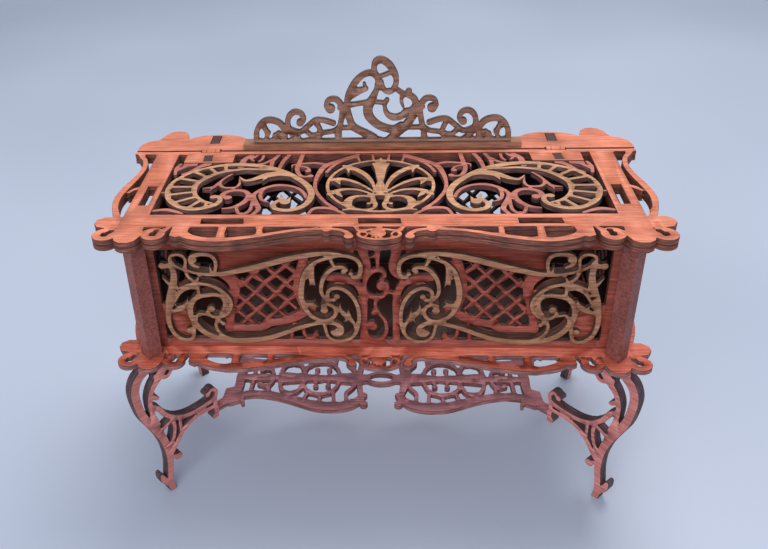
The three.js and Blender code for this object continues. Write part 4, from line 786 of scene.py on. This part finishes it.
# A quarter of the shelf, in plan, and the oval ring in its middle
SHELF_SHEET = (-112, 112, -36, 36)
SHELF_RING_OUTER = (11, 6.6)
SHELF_RING_INNER = (7.6, 3.6)
SHELF_TABS = [
    (6.4, (98, 22.1), (104.2, 28.3)),
]
SHELF_BANDS = [
    ([1.8, 2.2], (34.6, 0), (34.6, -8)),
    ([1.8, 2.2], (42.6, 0), (42.6, -8)),
    ([4.4, 6, 7.4, 8, 8, 7.4, 6.6, 6, 5.4, 5.4], (11, -17), (14.6, -22), (19.4, -25.8), (26, -28),
     (33, -28.4), (41, -27.6), (49, -24.8), (57, -21.6), (67, -18.4), (79, -16.4), (92, -18)),
    ([5, 5, 4.6, 4.6, 4.4], (9, -1), (18, -2.6), (27, -2), (36, 0), (50, 1.4), (66, 3.5)),
    ([4, 3.6, 3.4], (14.6, -2), (13.6, -12), (12, -24)),
    ([2.4, 3, 2.2], (17, -3.4), (18.8, -10), (22.4, -15.4), (21.8, -24)),
    ([2.2, 2.6, 3, 3, 2.6, 2.2], (27.6, -3), (29, -9), (33, -14.4), (38.6, -16.4), (45, -15),
     (49.6, -10.6), (51, -2)),
    (2.4, (31, -12), (30, -25)),
    (2.4, (39, -16), (39.6, -25)),
    (2.4, (47, -13), (50, -23)),
    ([2.4, 3, 3, 2.6, 2.4], (51.4, -6), (54, -13.6), (59.4, -16), (64, -13), (66.4, -6), (66, 2)),
    (2.6, (59, -15), (60, -21)),
    ([3.6, 3.2, 3.6], (63, 1), (78, -2), (93, 0)),
    ([2.4, 2.6, 2.2], (70.6, 1), (72, -5.6), (75.4, -9), (79, -7.4)),
    (2.4, (73.4, -8), (73, -17)),
    (2.6, (84, -1), (85, -17)),
    (6, (96, -20), (93, -10), (93, 0)),
    ([3.4, 2.2], (90, -19), (88, -26.4)),
]
SHELF_AREAS = [
    [(93, -15), (90, -24), (96, -27), (101, -26), (102, -22), (101, -12), (96, -10)],
]
SHELF_BALLS = [
    (11, -25.4, 2.6),
    (79.4, -7, 1.9),
    (34.6, -8.4, 1.8),
    (42.6, -8.6, 1.8),
]
# The crest, seen from the front: z up from the plank
CREST_SHEET = (-82, 82, -5, 56)
CREST_SILL = (-78, 78, 0, 2)
CREST_SIDE = [
    ([3.2, 3.2, 3.6, 3.6, 3.6, 3.2], (77, 0), (76.5, 7), (73, 12.5), (68, 14.5), (62, 12.5),
     (59, 7), (60, 0)),
    ([3, 2.8, 2.2], (73, 12), (70, 6), (72, 0)),
    ([2.4, 2.6, 2.2], (60, 3), (63, 6), (65.5, 3)),
    ([3.2, 3.2, 3.4, 3, 2.6], (50, 1), (54.5, 5), (57, 11), (56, 16.5), (52.5, 19.5),
     (48.5, 18.5), (47, 14.5), (49, 12)),
    ([3, 3, 3, 3.2], (57, 9), (50, 6.5), (45, 10), (40, 14), (35, 14), (29, 12)),
    ([2.6, 2.8, 2.6], (40, 14), (37, 6), (40, 0)),
    (2.6, (47, 8), (42, 4), (37, 6)),
    ([3.4, 3.4, 3.4, 3, 2.6], (27, 0), (25.5, 8), (24, 15), (23.5, 22), (26.5, 27), (31, 27),
     (33, 23.5), (31, 20.5)),
    (2.6, (25, 10), (29, 7), (35, 6)),
    (2.6, (25, 22), (20, 22)),
    (2.6, (26, 9), (16, 9)),
]
CREST_SIDE_BALLS = [
    (49.3, 12.7, 2.3),
    (30.5, 21.4, 2.8),
    (65, 4, 2),
    (69.6, 6, 1.7),
]
# The shell in the middle of the crest, drawn once
CREST_MIDDLE = [
    ([5, 4.6, 4.2, 4, 3.8, 3.8, 3.8, 3.4, 3.4, 3.6, 3.4, 3.2, 4.4, 5.8, 5.6, 4.8, 4.6, 4.4, 3.6],
     (-4.4, 2), (-9, 5), (-14, 7.6), (-17.4, 10.4), (-19.1, 15), (-20.4, 21.3), (-20, 27.4),
     (-18.4, 32.2), (-15.4, 37.4), (-11.8, 41.2), (-7.8, 43.2), (-4.4, 43), (-2.4, 41.2),
     (-1.6, 38.2), (-2.2, 34.2), (-3.4, 31), (-5.4, 27), (-7.2, 23.8), (-8, 20.6), (-7.4, 16.8),
     (-5, 13.4), (-1.4, 10.4), (3.4, 8.4), (8, 8), (12, 10.4)),
    ([3.2, 3.4, 3.8, 4, 4.2, 3.8, 3.2, 3, 2.8, 2.6, 2.8], (-3.2, 41.8), (-4, 46), (-3.2, 49.6),
     (-1, 51.2), (1.8, 50.6), (4.8, 48.2), (7, 45), (8.6, 41.4), (9, 37.6), (8, 34.2),
     (5.8, 31.8), (3.2, 31.8), (1.2, 34), (0.2, 37.6)),
    (2.4, (0, 41.2), (5.8, 43.4)),
    ([4.8, 4.6, 4.8, 4.6, 4.2, 4, 3.4, 3, 2.6], (4, 0), (9.6, 5.2), (13, 8.2), (15.8, 11.4),
     (19, 16), (20.6, 20.2), (20.9, 23.8), (19.4, 27.6), (16.2, 29.6), (13.2, 30.4), (9.4, 33)),
    ([2.4, 2.2, 0.8], (12.6, 30), (12.2, 25.6), (13.8, 20.8)),
    ([2.2, 2.4, 3, 3.6, 4, 3.6, 3.2], (2.4, 25), (2.3, 21.2), (3.9, 17.6), (7.1, 15.5), (11.4, 16),
     (15, 18.2), (18.4, 20.4)),
    ([2.4, 2.2], (2.2, 24.8), (-4.4, 25.4)),
    ([3, 2.6, 3], (-19.6, 23.4), (-13.6, 24.4), (-6.4, 25.4)),
    ([5, 4, 1.8], (-18, 30), (-13, 32.4), (-8.4, 33.6)),
    ([1.6, 1.2], (-8.6, 33.8), (-9.8, 36.8)),
    ([1.6, 0.4], (-1.2, 39), (-3.6, 35.8)),
]
CREST_MIDDLE_BALLS = [
    (3.6, 26.4, 1.4),
    (16.6, 31.6, 1.9),
    (-9.9, 36.8, 0.9),
]


# Materials
WHITE = (1, 1, 1, 1)
WORN_TINT = (0.62, 0.55, 0.52, 1)
PORE_TINT = (0.55, 0.5, 0.48, 1)
SOOT_TINT = (0.45, 0.42, 0.4, 1)
# Painted shade: the near-black that a face is darkened towards where the box shades it
PAINTED_SHADE = (30, 21, 20)
GRAIN_STRETCH = (9.0, 120.0, 120.0)
PORE_STRETCH = (27.0, 360.0, 360.0)
PLY_STRETCH = (60.0, 60.0, 900.0)
# The depth of grain and plies, in metres
BUMP_DEPTH = 0.0002


def fed(tree, socket, value):
    """Sets an input to a value, or joins it to the output of another node."""
    if isinstance(value, bpy.types.NodeSocket):
        tree.links.new(value, socket)
    else:
        socket.default_value = value


def added(tree, kind, **inputs):
    node = tree.nodes.new("ShaderNode" + kind)
    for name, value in inputs.items():
        fed(tree, node.inputs[name.replace("_", " ")], value)
    return node


def new_material(name):
    """A material with its tree of nodes, its shader, and the place on the object."""
    material = bpy.data.materials.new(name)
    material.use_nodes = True
    tree = material.node_tree
    tree.nodes.clear()
    output = added(tree, "OutputMaterial")
    shader = added(tree, "BsdfPrincipled")
    fed(tree, output.inputs[0], shader.outputs[0])
    place = added(tree, "TexCoord").outputs["Object"]
    return material, tree, shader, place


def linear(screen):
    """A screen colour, 0 to 255, as light, by the sRGB curve."""
    shares = [value / 255 for value in screen]
    return (*[s / 12.92 if s <= 0.04045 else ((s + 0.055) / 1.055) ** 2.4 for s in shares], 1.0)


def ramp(tree, value, stops):
    node = added(tree, "ValToRGB")
    points = node.color_ramp.elements
    while len(points) < len(stops):
        points.new(0.5)
    for point, (place, colour) in zip(points, stops):
        point.position = place
        point.color = colour
    fed(tree, node.inputs[0], value)
    return node.outputs[0]


def noise(tree, vector, scale, detail, rough=0.6, stretch=None):
    if stretch:
        vector = added(tree, "Mapping", Vector=vector, Scale=stretch).outputs[0]
    node = added(tree, "TexNoise", Vector=vector, Scale=scale, Detail=detail, Roughness=rough)
    return node.outputs["Fac"]


def mixed(tree, share, a, b, kind="MIX"):
    node = added(tree, "Mix")
    node.data_type = "RGBA"
    node.blend_type = kind
    for socket, value in ((0, share), (6, a), (7, b)):
        fed(tree, node.inputs[socket], value)
    return node.outputs[2]


def tinted(tree, colour, mask, tint, start, end, share):
    """The colour, darkened by a tint where the mask is low."""
    tone = ramp(tree, mask, [(start, tint), (end, WHITE)])
    return mixed(tree, share, colour, tone, "MULTIPLY")


def roughened(tree, shader, height, strength):
    bump = added(tree, "Bump", Strength=strength, Distance=BUMP_DEPTH, Height=height)
    fed(tree, shader.inputs["Normal"], bump.outputs[0])


def calc(tree, kind, a, b):
    node = added(tree, "Math")
    node.operation = kind
    fed(tree, node.inputs[0], a)
    fed(tree, node.inputs[1], b)
    return node.outputs[0]


# Parts of a face that get painted shade, in metres: the nearest and farthest |x|, the lowest and highest y,
# and whether the painted shade is inside this box or outside it
# Painted shade on the base's face inside the walls, where the box shades it
SHADE_INSIDE_BOX = (0.0, 0.1275, -0.0446, 0.0446, True)
# Painted shade on the hinge leaves, everywhere outside this box
SHADE_OUTSIDE_SLOT = (0.098, 0.112, 0.0386, 0.0478, False)


def shaded_part(tree, place, part):
    """1 where painted shade goes on the face, else 0."""
    near, far, front, rear, dark_inside = part
    axes = added(tree, "SeparateXYZ", Vector=place).outputs
    across = calc(tree, "ABSOLUTE", axes["X"], 0.0)
    share = calc(tree, "GREATER_THAN", across, near)
    for value, kind, limit in (
        (across, "LESS_THAN", far),
        (axes["Y"], "GREATER_THAN", front),
        (axes["Y"], "LESS_THAN", rear),
    ):
        share = calc(tree, "MULTIPLY", share, calc(tree, kind, value, limit))
    return share if dark_inside else calc(tree, "SUBTRACT", 1.0, share)


def stained(name, deep, body, pale, inner=None):
    """Stained plywood face: long grain, blotches of stain and fine pores, with painted shade over a part
    where one is given. Colours are those on the screen.
    """
    material, tree, shader, place = new_material(name)
    grain = noise(tree, place, scale=6, detail=6, rough=0.65, stretch=GRAIN_STRETCH)
    blotch = noise(tree, place, scale=42, detail=3, rough=0.55)
    pores = noise(tree, place, scale=14, detail=4, rough=0.7, stretch=PORE_STRETCH)
    colour = ramp(tree, grain, [(0.28, linear(deep)), (0.5, linear(body)), (0.74, linear(pale))])
    colour = tinted(tree, colour, blotch, WORN_TINT, start=0.32, end=0.6, share=0.75)
    colour = tinted(tree, colour, pores, PORE_TINT, start=0.36, end=0.5, share=0.5)
    # Painted shade: the colour darkened nearly to the shade colour over the given part
    if inner:
        dark = mixed(tree, 0.94, colour, linear(PAINTED_SHADE))
        colour = mixed(tree, shaded_part(tree, place, inner), colour, dark)
    fed(tree, shader.inputs["Base Color"], colour)
    shader.inputs["Specular IOR Level"].default_value = 0.3
    gloss = added(tree, "MapRange", Value=blotch, To_Min=0.38, To_Max=0.62)
    fed(tree, shader.inputs["Roughness"], gloss.outputs[0])
    roughened(tree, shader, pores, strength=0.25)
    return material


def charred(name, dark, brown, pale):
    """The cut edge of plywood: plies in layers, scorched by the cut."""
    material, tree, shader, place = new_material(name)
    layers = noise(tree, place, scale=2, detail=3, rough=0.5, stretch=PLY_STRETCH)
    smoke = noise(tree, place, scale=90, detail=3)
    colour = ramp(tree, layers, [(0.3, linear(dark)), (0.52, linear(brown)), (0.75, linear(pale))])
    colour = tinted(tree, colour, smoke, SOOT_TINT, start=0.35, end=0.62, share=0.8)
    fed(tree, shader.inputs["Base Color"], colour)
    shader.inputs["Roughness"].default_value = 0.7
    roughened(tree, shader, layers, strength=0.3)
    return material


SALMON_STAIN = ((172, 88, 64), (212, 123, 92), (234, 150, 119))
RED = stained("red_face", (106, 46, 38), (150, 70, 56), (184, 96, 78))
# Painted shade: a darker copy of the tan, for the front overlays whose faces lie in shade
SHADED_TAN = stained("front_tan_face_painted_shade", (102, 66, 48), (158, 110, 82), (192, 144, 112))
CREST = stained("crest_face", (96, 68, 56), (146, 108, 92), (178, 138, 120))
# The base carries painted shade on its face inside the walls
BASE = stained("base_face", (150, 68, 52), (214, 106, 82), (236, 138, 110), inner=SHADE_INSIDE_BOX)
LEG = stained("leg_face", (142, 82, 78), (200, 124, 118), (226, 154, 146))
LACE = stained("lid_red_face", (124, 68, 58), (178, 104, 88), (206, 136, 118))
ROSE = stained("shelf_face", (140, 88, 90), (196, 130, 134), (222, 160, 162))
POST = stained("post_face", (94, 48, 42), (136, 76, 68), (164, 100, 90))
SALMON = stained("salmon_face", *SALMON_STAIN)
TAN = stained("tan_face", (132, 90, 60), (188, 138, 102), (220, 174, 136))
PLANK = stained("plank_face", (112, 70, 52), (158, 108, 84), (186, 138, 110))
# The hinge leaves carry painted shade outside the part that shows in the slot
LEAF = stained("leaf_face", *SALMON_STAIN, inner=SHADE_OUTSIDE_SLOT)
# Painted shade: faces toward the inside of the box are near black, for the shade that fills it
SHADED_INSIDE = stained("inner_face_painted_shade", (26, 18, 18), (40, 28, 28), (56, 42, 40))
RED_EDGE = charred("red_edge", (50, 26, 22), (100, 54, 44), (146, 84, 68))
BASE_EDGE = charred("base_edge", (84, 50, 48), (146, 96, 94), (180, 124, 118))
SALMON_EDGE = charred("salmon_edge", (54, 28, 22), (122, 66, 50), (164, 96, 72))
TAN_EDGE = charred("tan_edge", (44, 30, 22), (90, 64, 48), (138, 102, 78))
SCROLL_EDGE = charred("scroll_edge", (56, 36, 32), (106, 72, 66), (150, 108, 98))
LACE_EDGE = charred("lace_edge", (60, 36, 34), (116, 72, 68), (156, 104, 98))
LEG_EDGE = charred("leg_edge", (44, 32, 36), (86, 64, 68), (126, 96, 100))
SCORCH = charred("scorched_line", (38, 22, 18), (70, 42, 34), (104, 66, 54))
STEEL = charred("pin_face", (90, 88, 84), (140, 136, 130), (170, 166, 160))


# Places
SIDES = (("left", -1), ("right", 1))


def lying(node, drop=0.0):
    """Drawn in plan: the piece lies where a node does, or a little lower."""
    return Matrix.Translation((0, MIDDLE * MM, (low(node, 2) - drop) * MM))


def standing(x, y, z, facing=0.0):
    """Drawn upright: the drawing's up is the real up, and the piece faces the given way."""
    place = Matrix.Translation((x * MM, (y + MIDDLE) * MM, z * MM))
    return place @ Matrix.Rotation(facing, 4, "Z") @ Matrix.Rotation(math.pi / 2, 4, "X")


def facing_front(node):
    """Drawn upright, with its back where the back of a node is."""
    return standing(0, tenth(high(node, 1) - MIDDLE), low(node, 2))


def facing_out(node, side):
    """The same at the left or right end of the box."""
    back = tenth(low(f"right_{node}", 0))
    return standing(side * back, 0, low("front_wall", 2), side * math.pi / 2)


# The rim that the lid and the base share
def rim(sheet):
    drawn(sheet.band, RIM_BANDS)
    drawn(sheet.ball, RIM_BALLS)
    drawn(sheet.area, RIM_AREAS)
    for side in (1, -1):
        for x, y, radius, hole, mouth in RIM_RINGS:
            sheet.ball(x, y, radius, side)
            sheet.ball(x, y, hole, side, cut=True)
            sheet.band(RING_MOUTH, (x, y), mouth, side=side, cut=True)
    sheet.oval(*MEDALLION, *MEDALLION_OUTER)
    sheet.oval(*MEDALLION, *MEDALLION_INNER, cut=True)
    sheet.ball(*MEDALLION_BOSS)
    drawn(sheet.band, MEDALLION_BANDS, 1)


# The border of the lid, the same in both of its layers
def lid_border():
    sheet = Sheet(-PLATE_HALF, PLATE_HALF, RIM_FRONT, LID_REAR)
    sheet.block(-FIELD_HALF, FIELD_HALF, LID_FIELD_FRONT, LID_REAR)
    sheet.block(*LID_WINDOW, cut=True)
    rim(sheet)
    both_ends(sheet, LEAF_GROUND)
    return sheet


# The upper layer
sheet = lid_border()
for slot in (RAIL_SLOT, END_SLOT, LEAF_SLOT, KNUCKLE_NOTCH):
    both_ends(sheet, slot, cut=True)
sheet.block(*MIDDLE_SLOT, cut=True)
plate("fine_lid_frame", "lid_frame", "lid", sheet, lying("lid_frame"), SALMON, SALMON_EDGE)

# The lower layer: its border, and the tracery in the window, which is seen close below the face of the frame
sheet = lid_border()
for slot in (LEAF_CHANNEL, END_SLOT):
    both_ends(sheet, slot, cut=True)
# Its face toward the inside of the box takes the near-black of painted shade
plate(
    "fine_lid_panel", "lid_panel", "lid",
    sheet, lying("lid_panel"), RED, SALMON_EDGE, back=SHADED_INSIDE,
)

sheet = Sheet(-TRACERY_HALF, TRACERY_HALF, -LID_REAR, LID_REAR)
drawn(sheet.band, LID_RED_BANDS)
drawn(sheet.ball, LID_RED_BALLS)
drawn(sheet.area, LID_RED_AREAS)
plate(
    "fine_lid_tracery", "lid_panel", "lid",
    sheet, lying("lid_frame", TRACERY_DROP), LACE, LACE_EDGE,
)

# The tan scrolls and the rosette in the window
for name, side in SIDES:
    ends = sorted((side * SCROLL_NEAR, side * SCROLL_FAR))
    sheet = Sheet(*ends, SCROLL_FRONT, SCROLL_REAR)
    drawn(sheet.band, SCROLL_BANDS, side)
    drawn(sheet.band, SPOKES, side)
    drawn(sheet.ball, SCROLL_BALLS, side)
    plate(
        f"fine_scroll_{name}", f"lid_scroll_{name}", "lid",
        sheet, lying("lid_frame"), TAN, SCROLL_EDGE,
    )

sheet = Sheet(-ROSETTE_HALF, ROSETTE_HALF, ROSETTE_FRONT, ROSETTE_HALF)
sheet.oval(*RING_MIDDLE, *RING_OUTER)
sheet.oval(*RING_MIDDLE, *RING_INNER, cut=True)
outline(sheet, SPEAR)
drawn(sheet.band, ROSETTE_BANDS)
drawn(sheet.ball, ROSETTE_BALLS)
plate("fine_rosette", "lid_rosette", "lid", sheet, lying("lid_frame"), TAN, SCROLL_EDGE)

# The base
sheet = Sheet(-PLATE_HALF, PLATE_HALF, RIM_FRONT, PLATE_REAR)
outline(sheet, EDGE_REAR)
sheet.block(-FIELD_HALF, FIELD_HALF, BASE_FIELD_FRONT, BASE_FIELD_REAR)
rim(sheet)
drawn(sheet.band, BASE_FRONT)
both_ends(sheet, BASE_END)
plate("fine_base", "base_plate", "box", sheet, lying("base_plate"), BASE, BASE_EDGE, back=ROSE)

# The strip behind the lid, in two layers
for name, face, edges, slot, openings in (
    ("lower", RED, RED_EDGE, "red_ply", (STRIP_CHANNEL,)),
    ("upper", SALMON, SALMON_EDGE, "pale_red_ply", (STRIP_NOTCH, STRIP_SLOT)),
):
    sheet = Sheet(-PLATE_HALF, PLATE_HALF, STRIP_FRONT, PLATE_REAR)
    outline(sheet, EDGE_REAR)
    for opening in openings:
        both_ends(sheet, opening, cut=True)
    node = f"rear_strip_{name}"
    plate(f"fine_strip_{name}", node, "box", sheet, lying(node), face, edges)


def lattice(sheet, window_edge, middle, side=1):
    """Adds the bars of a lattice inside an outline."""
    window = wall_sheet()
    window.area(*window_edge, side=side)
    bars = wall_sheet()
    reach = float(np.ptp([x for x, _ in window_edge]) + np.ptp([z for _, z in window_edge]))
    count = math.ceil(reach / LATTICE_PITCH)
    for slope in (1, -1):
        for i in range(-count, count + 1):
            foot = middle[0] * side + i * LATTICE_PITCH
            start = (foot - slope * reach, middle[1] - reach)
            bars.band(LATTICE_BAR, start, (foot + slope * reach, middle[1] + reach))
    sheet.field = np.minimum(sheet.field, np.maximum(window.field, bars.field))


def wall_sheet():
    return Sheet(-WALL_SHEET_HALF, WALL_SHEET_HALF, 0, WALL_HEIGHT)


# The front wall
sheet = wall_sheet()
sheet.block(-WALL_HALF, WALL_HALF, 0, FOOT_RAIL_TOP)
sheet.block(-WALL_HALF, WALL_HALF, HEAD_RAIL_FOOT, WALL_HEIGHT)
both_ends(sheet, (STILE_NEAR, WALL_HALF, 0, WALL_HEIGHT))
for side in (1, -1):
    lattice(sheet, LATTICE, LATTICE_MIDDLE, side)
drawn(sheet.area, WALL_AREAS)
drawn(sheet.band, WALL_BANDS)
drawn(sheet.ball, WALL_BALLS)
drawn(sheet.band, OVERLAY_MAIN)
drawn(sheet.band, WALL_LYRE, 1)
drawn(sheet.ball, WALL_LYRE_BALLS, 1)
# Its face toward the inside of the box takes the near-black of painted shade
plate(
    "fine_front_wall", "front_wall", "box",
    sheet, facing_front("front_wall"), RED, RED_EDGE, back=SHADED_INSIDE,
)

# The rear wall
sheet = wall_sheet()
sheet.block(-WALL_HALF, WALL_HALF, 0, WALL_HEIGHT)
for side in (1, -1):
    sheet.area(*LATTICE, side=side, cut=True)
    lattice(sheet, LATTICE, LATTICE_MIDDLE, side)
# Its face toward the inside of the box takes the near-black of painted shade
plate(
    "fine_rear_wall", "rear_wall", "box",
    sheet, facing_front("rear_wall"), SHADED_INSIDE, RED_EDGE, back=RED,
)

# The overlays on the front wall
for name, side in SIDES:
    ends = sorted((side * OVERLAY_NEAR, side * OVERLAY_FAR))
    sheet = Sheet(*ends, 0, WALL_HEIGHT)
    drawn(sheet.band, OVERLAY_MAIN, side)
    drawn(sheet.band, OVERLAY_BANDS, side)
    drawn(sheet.ball, OVERLAY_BALLS, side)
    node = f"front_overlay_{name}"
    y = tenth(high(node, 1) - MIDDLE)
    # The front overlays take the darker tan of painted shade
    plate(
        f"fine_{node}", node, "box",
        sheet, standing(0, y, low("front_wall", 2)), SHADED_TAN, TAN_EDGE,
    )

# The side walls and their overlays
SIDE_WINDOW = SIDE_LATTICE + [(-x, y) for x, y in reversed(SIDE_LATTICE) if x > 0]
for name, side in SIDES:
    sheet = wall_sheet()
    sheet.block(-SIDE_WALL_HALF, SIDE_WALL_HALF, 0, WALL_HEIGHT)
    drawn(sheet.area, SIDE_OPENINGS, cut=True)
    sheet.area(*SIDE_WINDOW, cut=True)
    lattice(sheet, SIDE_WINDOW, SIDE_LATTICE_MIDDLE)
    drawn(sheet.band, SIDE_BANDS)
    drawn(sheet.ball, SIDE_BALLS)
    # Its face toward the inside of the box takes the near-black of painted shade
    plate(
        f"fine_{name}_wall", f"{name}_wall", "box",
        sheet, facing_out("wall", side), RED, RED_EDGE, back=SHADED_INSIDE,
    )
    sheet = Sheet(-SIDE_SHEET_HALF, SIDE_SHEET_HALF, 0, WALL_HEIGHT)
    drawn(sheet.band, SIDE_OVERLAY_BANDS)
    drawn(sheet.ball, SIDE_OVERLAY_BALLS)
    plate(
        f"fine_{name}_overlay", f"{name}_overlay", "box",
        sheet, facing_out("overlay", side), TAN, TAN_EDGE,
    )

# The crest
sheet = Sheet(*CREST_SHEET)
sheet.block(*CREST_SILL)
drawn(sheet.band, CREST_SIDE)
drawn(sheet.ball, CREST_SIDE_BALLS)
drawn(sheet.band, CREST_MIDDLE, 1)
drawn(sheet.ball, CREST_MIDDLE_BALLS, 1)
sheet.block(-PLATE_HALF, PLATE_HALF, -BEYOND, 0, cut=True)
plate("fine_crest", "crest", "box", sheet, facing_front("crest"), CREST, TAN_EDGE)

# The shelf, from a quarter of it
sheet = Sheet(*SHELF_SHEET)
for way in (1, -1):
    drawn(sheet.ball, [(x, way * y, radius) for x, y, radius in SHELF_BALLS])
    drawn(sheet.band, [(widths, *flipped(spots, way)) for widths, *spots in SHELF_BANDS])
    drawn(sheet.area, [flipped(spots, way) for spots in SHELF_AREAS])
    drawn(sheet.band, [(widths, *flipped(spots, way)) for widths, *spots in SHELF_TABS])
sheet.oval(0, 0, *SHELF_RING_OUTER)
sheet.oval(0, 0, *SHELF_RING_INNER, cut=True)
plate("fine_shelf", "shelf", "box", sheet, lying("shelf"), ROSE, BASE_EDGE)

# The legs, two plies each, on the diagonals under the posts
sheet = Sheet(*LEG_SHEET)
drawn(sheet.band, LEG_BANDS, 1)
drawn(sheet.ball, LEG_BALLS, 1)
drawn(sheet.area, LEG_AREAS, 1)
sheet.band(*LEG_STEM)
sheet.block(-BEYOND, BEYOND, -BEYOND, 0, cut=True)
sheet.block(-BEYOND, BEYOND, LEG_HEIGHT, LEG_HEIGHT + BEYOND, cut=True)
for name, side in SIDES:
    for end, forward in (("front", -1), ("rear", 1)):
        place = standing(side * POST_X, forward * POST_Y, 0, math.atan2(forward, side))
        node = f"leg_{end}_{name}"
        middle = place @ Matrix.Translation((0, 0, -SHEET * MM))
        plate(f"fine_{node}", node, "box", sheet, middle, LEG, LEG_EDGE, plies=2)

# The CAD nodes that are shown as they are
for words, material in (("crest_plank", PLANK), ("post_", POST), ("leaf", LEAF), ("hinge_pin", STEEL)):
    for name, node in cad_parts.items():
        if words in name:
            node.data.materials.clear()
            node.data.materials.append(material)

# The camera, fitted to the photo. Pixels are the photo's, and the place is in metres.
PHOTO_WIDTH = 768
PHOTO_HEIGHT = 549
FOCAL_PIXELS = 859.4
AXIS_PIXEL = (333.4, 274.8)
PITCH = math.radians(32.19)
YAW = math.radians(-4.46)
ROLL = math.radians(2.28)
CAMERA_PLACE = (0.0056, -0.4422, 0.4033)
SENSOR = 36


def linked(name, data):
    item = bpy.data.objects.new(name, data)
    bpy.context.scene.collection.objects.link(item)
    return item


def camera():
    ahead = Vector((math.sin(YAW) * math.cos(PITCH), math.cos(YAW) * math.cos(PITCH), -math.sin(PITCH)))
    right = Vector((math.cos(YAW), -math.sin(YAW), 0))
    down = ahead.cross(right)
    right, down = (
        math.cos(ROLL) * right + math.sin(ROLL) * down,
        -math.sin(ROLL) * right + math.cos(ROLL) * down,
    )
    data = bpy.data.cameras.new("camera")
    data.sensor_width = SENSOR
    data.lens = FOCAL_PIXELS / PHOTO_WIDTH * SENSOR
    data.shift_x = (PHOTO_WIDTH / 2 - AXIS_PIXEL[0]) / PHOTO_WIDTH
    data.shift_y = (AXIS_PIXEL[1] - PHOTO_HEIGHT / 2) / PHOTO_WIDTH
    data.dof.use_dof = False
    data.clip_start, data.clip_end = 0.02, 20
    item = linked("camera", data)
    turn = Matrix((right, -down, -ahead)).transposed().to_4x4()
    x, y, z = CAMERA_PLACE
    item.matrix_world = Matrix.Translation((x, y + MIDDLE * MM, z)) @ turn
    bpy.context.scene.camera = item


camera()


# Light. Places and sizes are in metres, and powers in watts.
def lamp(name, place, target, size, power, colour):
    data = bpy.data.lights.new(name, "AREA")
    data.shape = "DISK"
    data.size = size
    data.energy = power
    data.color = colour
    item = linked(name, data)
    item.location = place
    item.rotation_mode = "QUATERNION"
    item.rotation_quaternion = (Vector(target) - Vector(place)).to_track_quat("-Z", "Y")


lamp("window_light", (0.25, 0.5, 1.4), (0, 0, 0.12), size=0.9, power=15, colour=(1, 0.97, 0.94))
lamp("front_light", (-0.3, -1.3, 0.9), (0, 0, 0.1), size=1.2, power=15, colour=(0.98, 0.98, 1))

world = bpy.data.worlds.new("room")
bpy.context.scene.world = world
world.use_nodes = True
sky = world.node_tree.nodes["Background"]
sky.inputs["Color"].default_value = (0.78, 0.84, 0.95, 1)
sky.inputs["Strength"].default_value = 0.66

# The floor, in metres
FLOOR_HALF = 6


def floor_material():
    material, tree, shader, place = new_material("pale_floor")
    cloud = noise(tree, place, scale=1.4, detail=2)
    colour = ramp(tree, cloud, [(0.3, linear((160, 169, 186))), (0.7, linear((178, 186, 202)))])
    fed(tree, shader.inputs["Base Color"], colour)
    shader.inputs["Roughness"].default_value = 0.55
    return material


corners = [(x * FLOOR_HALF, y * FLOOR_HALF, 0) for x, y in ((-1, -1), (1, -1), (1, 1), (-1, 1))]
floor_mesh = bpy.data.meshes.new("floor")
floor_mesh.from_pydata(corners, [], [(0, 1, 2, 3)])
floor_mesh.materials.append(floor_material())
floor = linked("floor", floor_mesh)

bpy.context.scene.view_settings.view_transform = "Standard"
